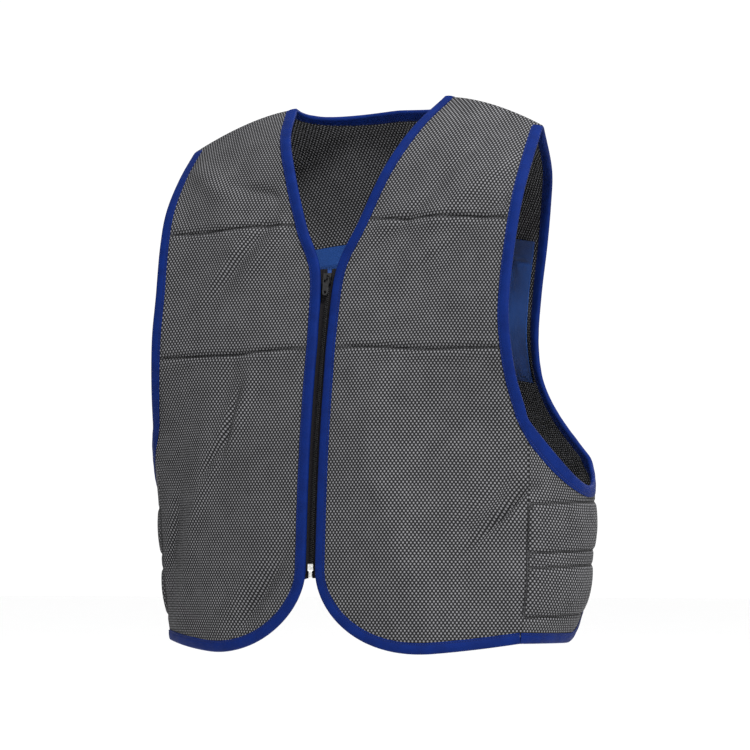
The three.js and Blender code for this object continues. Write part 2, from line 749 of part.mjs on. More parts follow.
// Direction out of the panel at each stop of a whole loop, square to the edge
function findOutward(loop) {
  loop.forEach((here, k) => {
    const before = loop[(k + loop.length - 1) % loop.length].edge;
    const after = loop[(k + 1) % loop.length].edge;
    const along = after.clone().sub(before);
    const outward = along.cross(here.edgeNormal).normalize();
    const away = here.edge.clone().sub(here.inset);
    if (outward.dot(away) < 0) outward.negate();
    if (here.onShoulder) outward.setY(0).normalize();
    here.outward = outward;
  });
}

// Folded tape over an edge: a U of even thickness, one section at each stop
function bindingGeometry(stops, closed) {
  const outer = HALF_MESH + COVER;
  const inner = HALF_MESH + GAP;
  const sections = stops.map((s) => {
    const leg = (height) => s.inset.clone().addScaledVector(s.insetNormal, height);
    const corner = (out, height) => s.edge.clone()
      .addScaledVector(s.outward, out).addScaledVector(s.edgeNormal, height);
    return [
      leg(outer),
      corner(COVER, outer),
      corner(COVER, -outer),
      leg(-outer),
      leg(-inner),
      corner(GAP, -inner),
      corner(GAP, inner),
      leg(inner),
    ];
  });
  const size = sections[0].length;
  const onEdge = [false, true, true, false, false, true, true, false];
  const middle = (k, i) => (onEdge[i] ? stops[k].edge : stops[k].inset);
  const points = sections.flat();
  const triangles = [];
  const spans = closed ? stops.length : stops.length - 1;
  for (let k = 0; k < spans; k += 1) {
    const next = (k + 1) % stops.length;
    for (let i = 0; i < size; i += 1) {
      const j = (i + 1) % size;
      const a = k * size + i;
      const b = k * size + j;
      const c = next * size + j;
      const d = next * size + i;
      const even = firstDiagonal(middle(k, i), middle(k, j), middle(next, j), middle(next, i));
      if (even) triangles.push([a, b, c], [a, c, d]);
      else triangles.push([b, c, d], [b, d, a]);
    }
  }
  if (!closed) {
    const end = (stops.length - 1) * size;
    for (const [a, b, c, d] of [[0, 1, 6, 7], [1, 2, 5, 6], [2, 3, 4, 5]]) {
      triangles.push([a, c, b], [a, d, c]);
      triangles.push([end + a, end + b, end + c], [end + a, end + c, end + d]);
    }
  }
  return closedGeometry(points, triangles);
}

// Share of the way up the back at a width share and a height
function backUpAt(across, z) {
  let low = 0;
  let high = 1;
  for (let n = 0; n < 40; n += 1) {
    const middle = (low + high) / 2;
    if (backBase(across, middle).z < z) low = middle;
    else high = middle;
  }
  return low;
}

// A nylon pocket that follows the inside of the back; halfWidth gives its reach at each height, and
// its ends hang lower than its middle by the sag
function pocketGrid(columns, rows, top, height, halfWidth, fullness, sag) {
  const lift = HALF_MESH + POCKET_EASE + NYLON_THICK / 2;
  return makeGrid(columns, rows, (i, j) => {
    const share = j / rows;
    const run = (2 * i) / columns - 1;
    const z = -top - height * (1 - share) - sag * run * run;
    const reach = halfWidth(z, share);
    let across = 0;
    let up = 0;
    for (let n = 0; n < 6; n += 1) {
      up = backUpAt(across, z);
      across = (Math.abs(run) * reach) / backBase(1, up).x;
    }
    const { point, normal } = backPlace(run * reach, up);
    const puff = fullness * Math.sin(Math.PI * share) ** 0.7 * Math.cos((Math.PI / 2) * run) ** 0.5;
    point.addScaledVector(normal, -lift - puff);
    return { point, normal };
  });
}

// Clear half width between the armhole bindings at a height
function clearHalf(z) {
  const up = backUpAt(1, z);
  const inset = squareInset(backBase, 1, up, -1);
  return backBase(1, up).x - inset - 2 * COVER;
}

function lowerPocketHalf(z, share) {
  const fromEdge = Math.min(share, 1 - share) * LOWER_POCKET_HEIGHT;
  const cut = Math.max(LOWER_POCKET_ROUND - fromEdge, 0);
  return LOWER_POCKET_HALF - LOWER_POCKET_ROUND + Math.sqrt(LOWER_POCKET_ROUND ** 2 - cut ** 2);
}

// Zip line up the middle, from the foot of the zip to the neckline
const zipCurve = (() => {
  const low = (CORNER_HEIGHT - ZIP_FOOT_DROP) / frontUps.height;
  const high = frontUps.ups[FRONT_ROWS.findIndex((row) => row.neck_drop === 1)];
  const points = [];
  const count = 24;
  for (let k = 0; k <= count; k += 1) {
    const point = frontBase(0, lerp(low, high, k / count));
    points.push(vec(0, point.y, point.z));
  }
  return new THREE.CatmullRomCurve3(points);
})();
const ZIP_RUN = zipCurve.getLength();
const TAPE_FRONT = -(HALF_MESH + COVER + GAP);
const CHAIN_BACK = TAPE_FRONT + GAP;
const CHAIN_FRONT = CHAIN_BACK + CHAIN_THICK;
const SLIDER_TOP = ZIP_RUN - SLIDER_DROP;
const CHAIN_TOP = SLIDER_TOP - POST_LENGTH - GAP;
const CHAIN_FOOT = PIN_LENGTH + BOX_LENGTH + GAP;

// Point of the zip line at a height along it, with the directions up it and out of it
function zipFrame(run) {
  const share = THREE.MathUtils.clamp(run / ZIP_RUN, 0, 1);
  const point = zipCurve.getPointAt(share);
  const up = zipCurve.getTangentAt(share);
  return { point, up, out: vec(0, -up.z, up.y) };
}

// Bar of square section along the zip line; section gives its four sides at each run
function zipBar(runs, section) {
  const rings = runs.map((run) => {
    const { point, out } = zipFrame(run);
    const { left, right, back, front } = section(run);
    const corner = (x, depth) => point.clone().addScaledVector(out, depth).add(vec(x, 0, 0));
    return [corner(left, back), corner(right, back), corner(right, front), corner(left, front)];
  });
  const points = rings.flat();
  const triangles = [];
  for (let k = 0; k < rings.length - 1; k += 1) {
    for (let i = 0; i < 4; i += 1) {
      const a = k * 4 + i;
      const b = k * 4 + ((i + 1) % 4);
      triangles.push([a, b, b + 4], [a, b + 4, a + 4]);
    }
  }
  const end = points.length - 4;
  triangles.push([0, 2, 1], [0, 3, 2], [end, end + 1, end + 2], [end, end + 2, end + 3]);
  return closedGeometry(points, triangles);
}

function evenRuns(from, to, count) {
  return Array.from({ length: count + 1 }, (_, k) => lerp(from, to, k / count));
}

function tapeGeometry(side) {
  return zipBar(evenRuns(0, ZIP_RUN, 14), (run) => {
    const splay = TAPE_SPLAY * Math.max(1 - (ZIP_RUN - run) / SPLAY_LENGTH, 0);
    const inner = side * (GAP / 2 + splay);
    return { left: inner, right: side * TAPE_WIDTH, back: TAPE_FRONT - TAPE_THICK, front: TAPE_FRONT };
  });
}

function chainGeometry() {
  const teeth = Math.round((CHAIN_TOP - CHAIN_FOOT) / TOOTH_PITCH);
  const count = 2 * teeth;
  const runs = evenRuns(CHAIN_FOOT, CHAIN_TOP, count);
  const half = CHAIN_WIDTH / 2;
  return zipBar(runs, (run) => {
    const step = Math.round(((run - CHAIN_FOOT) / (CHAIN_TOP - CHAIN_FOOT)) * count);
    const front = CHAIN_FRONT + (step % 2) * TOOTH_HEIGHT;
    return { left: -half, right: half, back: CHAIN_BACK, front };
  });
}

const wasm = await Module();
wasm.setup();

function toSolid(geometry) {
  const bare = geometry.clone();
  bare.deleteAttribute('normal');
  bare.deleteAttribute('uv');
  const merged = mergeVertices(bare, 1e-4);
  return new wasm.Manifold(new wasm.Mesh({
    numProp: 3,
    vertProperties: new Float32Array(merged.attributes.position.array),
    triVerts: new Uint32Array(merged.index.array),
  }));
}

function toGeometry(solid) {
  const mesh = solid.getMesh();
  const geometry = new THREE.BufferGeometry();
  geometry.setAttribute('position', new THREE.BufferAttribute(new Float32Array(mesh.vertProperties), 3));
  geometry.setIndex(new THREE.BufferAttribute(new Uint32Array(mesh.triVerts), 1));
  return geometry;
}

function joined(geometries) {
  let solid = toSolid(geometries[0]);
  for (const geometry of geometries.slice(1)) solid = solid.add(toSolid(geometry));
  return toGeometry(solid);
}

function plate(corners, from, to) {
  const shape = new THREE.Shape(corners.map(([x, y]) => new THREE.Vector2(x, y)));
  const geometry = new THREE.ExtrudeGeometry(shape, { depth: to - from, bevelEnabled: false });
  return geometry.translate(0, 0, from);
}

function block(x0, x1, y0, y1, z0, z1) {
  return plate([[x0, y0], [x1, y0], [x1, y1], [x0, y1]], z0, z1);
}

// Slider: two plates joined by the post at the top, side lips and the bridge for the pull.
// Its own frame: x across, y up the zip, z out of it, with y = 0 at the slider's top.
const FRONT_PLATE = CHAIN_FRONT + TOOTH_HEIGHT + GAP;
const BACK_PLATE = TAPE_FRONT - TAPE_THICK - GAP;
const BRIDGE_TOP = -BRIDGE_SETBACK;
const BRIDGE_FOOT = BRIDGE_TOP - BRIDGE_LENGTH;
const PIVOT_UP = BRIDGE_FOOT + BRIDGE_BAR + GAP + PULL_THICK / 2;
const PIVOT_OUT = FRONT_PLATE + SLIDER_PLATE + BRIDGE_ROOM / 2;

function sliderGeometry() {
  const half = SLIDER_WIDTH / 2;
  const foot = half * SLIDER_TAPER;
  const outline = [[-foot, -SLIDER_LENGTH], [foot, -SLIDER_LENGTH], [half, -SLIDER_SHOULDER],
    [half, 0], [-half, 0], [-half, -SLIDER_SHOULDER]];
  const overlap = SLIDER_PLATE / 2;
  const lipDepth = CHAIN_BACK + GAP;
  const faceTop = FRONT_PLATE + SLIDER_PLATE;
  const bridgeHalf = BRIDGE_WIDTH / 2;
  const roof = faceTop + BRIDGE_ROOM;
  const lip = (way) => {
    const corners = [[way * foot, -SLIDER_LENGTH], [way * half, -SLIDER_SHOULDER],
      [way * (half - LIP_THICK), -SLIDER_SHOULDER], [way * (foot - LIP_THICK), -SLIDER_LENGTH]];
    return plate(way > 0 ? corners : corners.reverse(), lipDepth, FRONT_PLATE + overlap);
  };
  return joined([
    plate(outline, FRONT_PLATE, faceTop),
    plate(outline, BACK_PLATE - SLIDER_PLATE, BACK_PLATE),
    block(-POST_WIDTH / 2, POST_WIDTH / 2, -POST_LENGTH, 0, BACK_PLATE - overlap, FRONT_PLATE + overlap),
    lip(1),
    lip(-1),
    block(-bridgeHalf, bridgeHalf, BRIDGE_FOOT, BRIDGE_FOOT + BRIDGE_BAR, faceTop - overlap, roof + overlap),
    block(-bridgeHalf, bridgeHalf, BRIDGE_TOP - BRIDGE_BAR, BRIDGE_TOP, faceTop - overlap, roof + overlap),
    block(-bridgeHalf, bridgeHalf, BRIDGE_FOOT, BRIDGE_TOP, roof, roof + BRIDGE_BAR),
  ]);
}

// Pull: a flat tab with an eye round the bridge and a hole near its end, pivot at its own origin
function pullGeometry() {
  const half = PULL_WIDTH / 2;
  const top = PULL_THICK / 2;
  const end = top - PULL_LENGTH;
  const waist = half * PULL_WAIST;
  const shape = new THREE.Shape();
  shape.moveTo(-half, top);
  shape.lineTo(-half, -PULL_EYE);
  shape.quadraticCurveTo(-waist, -PULL_EYE - PULL_RAIL, -waist, end + half);
  shape.quadraticCurveTo(-waist, end, 0, end);
  shape.quadraticCurveTo(waist, end, waist, end + half);
  shape.quadraticCurveTo(waist, -PULL_EYE - PULL_RAIL, half, -PULL_EYE);
  shape.lineTo(half, top);
  const outline = shape.getPoints(4).map((p) => [p.x, p.y]);
  const inside = half - PULL_RAIL;
  const eye = block(-inside, inside, -PULL_EYE, -top, -PULL_THICK, PULL_THICK);
  const hole = new THREE.CylinderGeometry(PULL_HOLE, PULL_HOLE, 2 * PULL_THICK, 12);
  hole.rotateX(Math.PI / 2).translate(0, end + 2 * PULL_HOLE, 0);
  const tab = toSolid(plate(outline, -PULL_THICK / 2, PULL_THICK / 2));
  return toGeometry(tab.subtract(toSolid(eye)).subtract(toSolid(hole)));
}

function boxGeometry() {
  const wide = BOX_WIDTH / 2;
  const narrow = PIN_WIDTH / 2;
  const top = PIN_LENGTH + BOX_LENGTH;
  const corners = [[-narrow, 0], [narrow, 0], [narrow, PIN_LENGTH], [wide, PIN_LENGTH],
    [wide, top], [-wide, top], [-wide, PIN_LENGTH], [-narrow, PIN_LENGTH]];
  return plate(corners, CHAIN_BACK, CHAIN_BACK + BOX_THICK);
}

const vest = new THREE.Group();

function finish(color, roughness, metalness) {
  return new THREE.MeshStandardMaterial({ color, roughness, metalness });
}

const meshCloth = () => finish(0x55585c, 0.9, 0);
const blueTape = () => finish(0x1b3ca5, 0.75, 0);
const nylon = () => finish(0x3264a8, 0.55, 0);
const blackTape = () => finish(0x0d0d10, 0.8, 0);
const blackMetal = () => finish(0x16161a, 0.4, 0.6);
const silverMetal = () => finish(0xa8a8a4, 0.35, 0.9);

function addMesh(name, geometry, material, parent = vest) {
  const mesh = new THREE.Mesh(geometry, material);
  mesh.name = name;
  parent.add(mesh);
  return mesh;
}

// A group that stands on the zip line at a run along it
function zipGroup(run) {
  const { point, up } = zipFrame(run);
  const group = new THREE.Group();
  group.position.copy(point);
  group.rotation.x = Math.atan2(up.z, up.y);
  vest.add(group);
  return group;
}

// Panels
const frontLeft = frontGrid(1);
const frontRight = mirrored(frontGrid(-1));
const sideLeft = sideGrid();
const sideRight = mirrored(sideGrid());
const back = backGrid();
shareNormals(frontLeft, FRONT_COLUMNS, sideLeft, 0);
shareNormals(frontRight, FRONT_COLUMNS, sideRight, 0);
shareNormals(back, back.columns, sideLeft, SIDE_COLUMNS);
shareNormals(back, 0, sideRight, SIDE_COLUMNS);

// Stops of the bound edges: one loop round the whole outline and one round each armhole
const stopsOf = {
  front_binding_left: frontStops(frontLeft),
  front_binding_right: frontStops(frontRight).reverse(),
  side_left: hemStops(sideLeft),
  back_hem: hemStops(back).reverse(),
  side_right: hemStops(sideRight).reverse(),
  neck: neckStops(back),
};
stopsOf.hem_binding = [...stopsOf.side_left, ...stopsOf.back_hem, ...stopsOf.side_right];
for (const name of ['front_binding_left', 'front_binding_right', 'neck']) {
  const stops = stopsOf[name];
  if (name !== 'front_binding_right') stops[0].onShoulder = true;
  if (name !== 'front_binding_left') stops[stops.length - 1].onShoulder = true;
}

findOutward([
  ...stopsOf.front_binding_left,
  ...stopsOf.hem_binding,
  ...stopsOf.front_binding_right,
  ...stopsOf.neck,
]);
const armLeft = armStops(frontLeft, sideLeft, back, back.columns, back.columns - 1);
const armRight = armStops(frontRight, sideRight, back, 0, 1);
findOutward(armLeft);
findOutward(armRight);

addMesh('front_panel_left', panelGeometry(frontLeft, MESH_THICK), meshCloth());
addMesh('front_panel_right', panelGeometry(frontRight, MESH_THICK), meshCloth());
addMesh('side_panel_left', panelGeometry(sideLeft, MESH_THICK), meshCloth());
addMesh('side_panel_right', panelGeometry(sideRight, MESH_THICK), meshCloth());
addMesh('back_panel', panelGeometry(back, MESH_THICK), meshCloth());
addMesh('front_binding_left', bindingGeometry(stopsOf.front_binding_left, false), blueTape());
addMesh('front_binding_right', bindingGeometry(stopsOf.front_binding_right, false), blueTape());
addMesh('hem_binding', bindingGeometry(stopsOf.hem_binding, false), blueTape());
addMesh('neck_binding', bindingGeometry(stopsOf.neck, false), blueTape());
addMesh('armhole_binding_left', bindingGeometry(armLeft, true), blueTape());
addMesh('armhole_binding_right', bindingGeometry(armRight, true), blueTape());

// Pockets inside the back
const upperPocket = pocketGrid(
  16, 8, UPPER_POCKET_TOP, UPPER_POCKET_HEIGHT, clearHalf, POCKET_FULLNESS, POCKET_SAG,
);
const lowerPocket = pocketGrid(10, 8, LOWER_POCKET_TOP, LOWER_POCKET_HEIGHT, lowerPocketHalf, 0, 0);
addMesh('inner_pocket_upper', panelGeometry(upperPocket, NYLON_THICK), nylon());
addMesh('inner_pocket_lower', panelGeometry(lowerPocket, NYLON_THICK), nylon());

// Zip
addMesh('zip_tape_left', tapeGeometry(1), blackTape());
addMesh('zip_tape_right', tapeGeometry(-1), blackTape());
addMesh('zip_chain', chainGeometry(), blackMetal());
const sliderGroup = zipGroup(SLIDER_TOP);
addMesh('zip_slider', sliderGeometry(), blackMetal(), sliderGroup);
const pullMesh = addMesh('zip_pull', pullGeometry(), blackMetal(), sliderGroup);
pullMesh.position.set(0, PIVOT_UP, PIVOT_OUT);
addMesh('zip_box', boxGeometry(), silverMetal(), zipGroup(0));

export default vest;
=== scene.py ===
"""Dresses the cooling vest: dotted spacer mesh, bound edges, inner pockets, zip and studio."""
import math

import bpy
import numpy as np
from bpy.props import FloatProperty, FloatVectorProperty, PointerProperty
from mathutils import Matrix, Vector


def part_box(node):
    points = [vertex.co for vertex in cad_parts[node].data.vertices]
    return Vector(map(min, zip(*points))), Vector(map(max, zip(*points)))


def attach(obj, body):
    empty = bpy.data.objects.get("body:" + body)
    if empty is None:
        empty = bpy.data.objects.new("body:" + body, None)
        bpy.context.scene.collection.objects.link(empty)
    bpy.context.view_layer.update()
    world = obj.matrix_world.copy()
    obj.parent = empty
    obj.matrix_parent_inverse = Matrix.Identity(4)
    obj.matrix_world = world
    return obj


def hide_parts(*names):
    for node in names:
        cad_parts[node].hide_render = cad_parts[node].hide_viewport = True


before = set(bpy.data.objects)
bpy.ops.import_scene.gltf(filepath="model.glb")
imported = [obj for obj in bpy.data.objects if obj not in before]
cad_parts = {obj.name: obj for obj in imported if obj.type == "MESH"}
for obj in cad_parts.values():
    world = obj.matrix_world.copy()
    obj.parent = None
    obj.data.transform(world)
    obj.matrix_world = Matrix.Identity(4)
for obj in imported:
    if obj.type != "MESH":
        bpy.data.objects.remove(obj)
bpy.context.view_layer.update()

bl_info = {
    "name": "Cooling Vest",
    "version": (1, 0, 0),
    "blender": (4, 5, 0),
    "location": "3D View > Sidebar > Vest",
    "description": "Builds the cloth, bindings, pockets and zip of a cooling vest on its frame",
    "category": "Object",
}

BODY = "vest"
SIDES = {1: "left", -1: "right"}

# Sizes in millimetres. Heights are measured down from the neck corners.
LENGTH = 640
NECK_DEPTH = 200
SHOULDER_DROP = 43
ARM_JOIN_FRONT = 376
ARM_JOIN_BACK = 417
ARM_DIP = 52
SIDE_RISE = 16
SEAM_RISE = 46
BACK_RISE = 102
RISE_START = 0.55
RISE_END = 1
RISE_FADE = 0.5
SIDE_LENGTH = LENGTH - SIDE_RISE
SEAM_LENGTH = LENGTH - SEAM_RISE
BACK_LENGTH = LENGTH - BACK_RISE
NECK_HALF = 101
HALF_WIDTH = 238
FRONT_DEPTH = 135
BACK_DEPTH = 154
BACK_NECK_DEPTH = 66
SIDE_BULGE = 41
CORNER_WIDTH = 140
ZIP_FOOT_DROP = 9
CORNER_HEIGHT = 88
MESH_THICK = 2.5
BIND_WIDTH = 12.6
BIND_THICK = 1.0
GAP = 0.3
BAND_BASE = 28
BAND_HEIGHT = 54
BAND_GAP = 17
NYLON_THICK = 1.2
UPPER_POCKET_TOP = 144
UPPER_POCKET_HEIGHT = 164
POCKET_EASE = 0.9
POCKET_SAG = 18
LOWER_POCKET_TOP = 366
LOWER_POCKET_HEIGHT = 150
LOWER_POCKET_HALF = 152
LOWER_POCKET_ROUND = 24
ZIP_GAP_HALF = 6.7
TAPE_THICK = 0.7
TAPE_WIDTH = 15.5
TAPE_SPLAY = 3.2
TAPE_WAVE = (0.12, 11)
SPLAY_LENGTH = 24
CHAIN_WIDTH = 5.4
CHAIN_THICK = 1.7
COVER = GAP + BIND_THICK
INSET = BIND_WIDTH - COVER
HALF_MESH = MESH_THICK / 2
MM = 0.001

# Elastic bands of the sides: stitch lines, rise from front to back, relief and puckers, and the
# groove of the seam beside them
BAND_TOP = BAND_BASE + 2 * BAND_HEIGHT + BAND_GAP
BAND_LINES = (BAND_BASE, BAND_BASE + BAND_HEIGHT, BAND_BASE + BAND_HEIGHT + BAND_GAP, BAND_TOP)
BAND_CLIMB = 6
BAND_SWELL = 2.4
BAND_EASE = 4
BAND_CORNER = 3
BAND_START = 7
BAND_GROOVE = (1.5, 2.2)
BAND_END_WIDTH = 2.4
PUCKER = 0.30
PUCKER_WAVES = (1.7, 2.0, 9.0)
CROWN_POWER = 0.6
SEAM_GROOVE = 0.8
SEAM_WIDTH = 3

# Pockets: hem band, relief of the upper one's gathers, the lower one's stitch line, and the clear
# distance from the armhole as a share of the binding's
HEM_BAND = 25
POCKET_PUFF = 2.4
GATHER = 1.1
GATHER_FADE = 14
DRAPE = 0.9
GATHER_GROOVE = (1.3, 3)
PATCH_SEAM = 4
ARM_CLEAR = 1.25

# Lap of a binding past its joint; reach of the side's curve and roundness of its dip
END_LAP = 0.4
SIDE_LEAD = 0.33
DIP_POWER = 0.85

# Columns and rows of each grid, and points along each edge
FRONT_GRID = (92, 236)
SIDE_GRID = (64, 96)
BACK_COLUMNS = 44
BACK_LEVELS = 210
UPPER_POCKET_GRID = (260, 118)
LOWER_POCKET_GRID = (150, 90)
ZIP_TAPE_GRID = (16, 150)
TABLE_GRID = (70, 140)
CORNER_POINTS = 60
RISE_POINTS = 200
SIDE_POINTS = 120
ARM_POINTS = 140
NECK_POINTS = 90
ZIP_STATIONS = 600
EDGE_SPACING = 3.0

# Share of a surface stepped to each side for a direction, rounds and reach of the searches, the
# angle of a sharp edge, the distance that stands for no stitch line, and the distances over which
# relief rises beside a binding
STEP = 0.002
HALVINGS = 30
POCKET_PASSES = 6
SCOOP_SEARCH = (0.2, 2001)
SHARP_ANGLE = 55
FAR = 99.0
EASE = 8
WIDE_EASE = 10

# Shares of a surface over which its folds fade: at its inner, outer, top and lower edge
FOLD_FADES = (0.1, 0.12, 0.12, 0.04)

# Distances along the side over which it takes on its own direction and the front's creases fade,
# the lean that they have there, and the share of them that the bands hold flat
BLEND_RUN = 18
CREASE_RUN = (10, 70)
CREASE_LEAN = 0.8
BAND_HOLD = 0.8

# Share of the front above its join with the side, and distances from the armhole, over which its
# relief fades, and the height of its shallow waves
JOIN_FADE = 0.03
ARM_FADE = (4, 20)
FRONT_WAVE = 0.5
BACK_WAVE = 0.6

# Relief at a stitch line: ridge height, distance and width; groove depth and width; pucker height
# and width; height and number of its bends
LINE_RIDGE = (1.0, 7, 5)
LINE_GROOVE = (2.0, 2.2)
LINE_PUCKER = (0.25, 5)
LINE_BEND = (1.2, 9.0)

# Stitches in metres: pitch, share of it that the thread shows, and the thread's two half widths
MESH_STITCH = (0.0031, 0.62, 0.00025, 0.00055)
TAPE_STITCH = (0.0029, 0.66, 0.0002, 0.0005)
NYLON_STITCH = (0.0028, 0.6, 0.0002, 0.0005)

# Weaves in metres: the binding's ribs along and over it and its stitch line's depth, the nylon's
# threads, and the zipper tape's ribs and the width after which they turn
TAPE_RIBS = (0.0009, 0.0007)
TAPE_LINE = 0.0024
NYLON_WEAVE = 0.0006
ZIP_RIBS = 0.0011
ZIP_RIB_TURN = 0.002

# Studio in metres: the floor, the white around, each lamp's place, power and size, the point that
# the lamps face and the point that the camera faces
FLOOR_HALF = 40.0
FLOOR_LEVEL = -0.86
SKY = 1.05
LAMPS = {"key": ((1.7, -1.3, 2.3), 400, 0.6), "rim": ((0.6, 3.0, 1.6), 50, 1.6)}
LIT_POINT = (0, 0, -0.3)
AIM_LEVEL = -0.317
AIM_SHIFT = 0.0058
SENSOR = 36.0

# Rounding of the zip's metal parts, in metres
ROUNDED = {"zip_slider": 0.00045, "zip_pull": 0.00035, "zip_box": 0.0005}
WELD = 0.00001
ROUND_STEPS = 3
ROUND_ANGLE = 35

# Coil tooth: points along and round it, radius, end of its loop past the middle, and its rise
TOOTH_GRID = (8, 6)
TOOTH_RADIUS = 0.62
TOOTH_PAST = 0.75
TOOTH_RISE = 0.95

# neck_x, neck_fwd, neck_drop, arm_x, arm_fwd, arm_drop, full, slope: from the hem up
FRONT_ROWS = np.array([
    [0.000, 1.008, 2.000, 0.965, 0.500, 2.000, 2.6, 2.6],
    [0.000, 0.996, 1.820, 1.006, 0.505, 1.748, 2.6, 2.5],
    [0.000, 0.978, 1.702, 1.018, 0.515, 1.538, 2.5, 1.4],
    [0.000, 0.950, 1.560, 1.027, 0.530, 1.286, 2.4, 1.0],
    [0.000, 0.900, 1.400, 1.034, 0.600, 1.000, 2.2, 1.0],
    [0.000, 0.854, 1.292, 1.006, 0.705, 0.863, 2.1, 1.0],
    [0.000, 0.792, 1.167, 0.986, 0.757, 0.698, 2.0, 1.0],
    [0.053, 0.700, 1.000, 0.981, 0.712, 0.542, 2.0, 1.0],
    [0.293, 0.640, 0.753, 0.991, 0.620, 0.361, 1.8, 1.1],
    [0.569, 0.518, 0.431, 0.996, 0.505, 0.230, 1.6, 1.2],
    [0.812, 0.320, 0.192, 0.990, 0.310, 0.106, 1.3, 1.4],
    [1.000, 0.000, 0.000, 0.976, 0.100, 0.000, 1.0, 1.6],
])
FRONT_JOIN_ROW = 4
ZIP_TOP_ROW = 7

# mid_back, mid_drop, arm_x, arm_back, arm_drop, full, slope: from the hem up
BACK_ROWS = np.array([
    [0.993, 1.000, 0.960, 0.568, 2.000, 2.6, 4.0],
    [1.007, 0.926, 1.004, 0.554, 1.660, 2.5, 3.0],
    [1.007, 0.843, 1.020, 0.541, 1.330, 2.4, 1.6],
    [1.000, 0.762, 1.026, 0.527, 1.000, 2.3, 1.0],
    [0.993, 0.703, 0.904, 0.545, 0.911, 2.2, 1.0],
    [0.980, 0.645, 0.820, 0.566, 0.842, 2.1, 1.0],
    [0.966, 0.573, 0.752, 0.582, 0.760, 2.1, 1.0],
    [0.939, 0.465, 0.719, 0.595, 0.640, 2.0, 1.0],
    [0.885, 0.344, 0.735, 0.596, 0.490, 2.0, 1.0],
    [0.791, 0.212, 0.783, 0.555, 0.331, 2.0, 1.0],
    [0.642, 0.098, 0.830, 0.474, 0.211, 1.9, 1.2],
    [0.446, 0.006, 0.880, 0.345, 0.125, 1.8, 1.6],
    [0.000, 0.000, 0.976, -0.088, 0.000, 1.0, 1.6],
])
BACK_JOIN_ROW = 3

# up, bulge
SIDE_ROWS = np.array([[0.00, 0.50], [0.15, 0.84], [0.35, 0.96], [0.60, 1.04], [1.00, 1.00]])

# Folds: side, x (share of HALF_WIDTH), drop (share of LENGTH), lean, length, width, depth
FRONT_FOLDS = np.array([
    [1, 0.88, 0.735, 42, 62, 13, -6.0],
    [1, 0.76, 0.835, 30, 70, 30, -6.0],
    [1, 0.62, 0.200, 38, 95, 26, 4.0],
    [1, 0.52, 0.330, 30, 80, 28, -3.5],
    [1, 0.30, 0.640, -8, 130, 45, 3.5],
    [-1, 0.53, 0.520, -22, 48, 12, -5.0],
    [-1, 0.62, 0.600, -30, 60, 24, 4.0],
    [-1, 0.86, 0.820, -20, 55, 16, -5.0],
    [-1, 0.60, 0.230, 32, 70, 24, 4.0],
    [-1, 0.30, 0.900, -35, 60, 24, -4.0],
])
BACK_FOLDS = np.array([
    [1, 0.55, 0.62, 18, 110, 28, 5.0],
    [1, 0.30, 0.78, 8, 120, 34, -4.5],
    [-1, 0.48, 0.66, -14, 120, 30, 5.0],
    [-1, 0.20, 0.80, -4, 110, 32, -4.0],
    [-1, 0.62, 0.30, 30, 70, 24, 3.5],
])

# Small creases added in the cloth alone, in the same columns
FRONT_CREASES = np.array([
    [1, 0.930, 0.752, 43, 46, 5.0, -6.8],
    [1, 0.880, 0.728, 43, 56, 13.0, 5.4],
    [1, 1.020, 0.790, 43, 40, 15.0, -4.7],
    [1, 0.760, 0.850, 34, 60, 14.0, -3.5],
    [1, 0.40, 0.235, 48, 60, 9.0, -5.9],
    [1, 0.48, 0.200, 48, 80, 12.0, 4.6],
    [1, 0.60, 0.150, 42, 46, 8.0, -4.9],
    [1, 0.72, 0.190, 50, 60, 11.0, 4.9],
    [1, 0.80, 0.240, 54, 56, 9.0, -4.6],
    [1, 0.64, 0.275, 62, 60, 9.0, 3.5],
    [1, 0.36, 0.310, 40, 60, 11, -2.4],
    [1, 0.35, 0.520, 12, 80, 14, 2.2],
    [1, 0.62, 0.600, 24, 90, 18, -2.4],
    [1, 0.45, 0.800, -16, 90, 20, 2.7],
    [-1, 0.50, 0.585, -16, 40, 5.0, -6.8],
    [-1, 0.44, 0.565, -20, 46, 10.0, 4.1],
    [-1, 0.60, 0.650, -38, 36, 6.0, -4.9],
    [-1, 0.66, 0.700, -30, 50, 11.0, 3.2],
    [-1, 0.42, 0.165, 78, 40, 7.0, -4.6],
    [-1, 0.76, 0.140, 58, 50, 12.0, 4.6],
    [-1, 0.48, 0.285, -38, 50, 8.0, -4.9],
    [-1, 0.36, 0.270, -38, 56, 10.0, 3.8],
    [-1, 0.62, 0.310, -38, 50, 10.0, 3.8],
    [-1, 0.90, 0.780, -14, 50, 9.0, -6.1],
    [-1, 0.76, 0.780, -14, 60, 14.0, 4.1],
    [-1, 0.28, 0.895, -38, 46, 7.0, -5.7],
    [-1, 0.36, 0.870, -38, 60, 13.0, 4.6],
])

# Stitch lines across the fronts: side, depth at the zip edge, depth at the armhole
CHEST_LINES = np.array([[1, 144, 152], [1, 292, 300], [-1, 146, 150], [-1, 292, 298]])


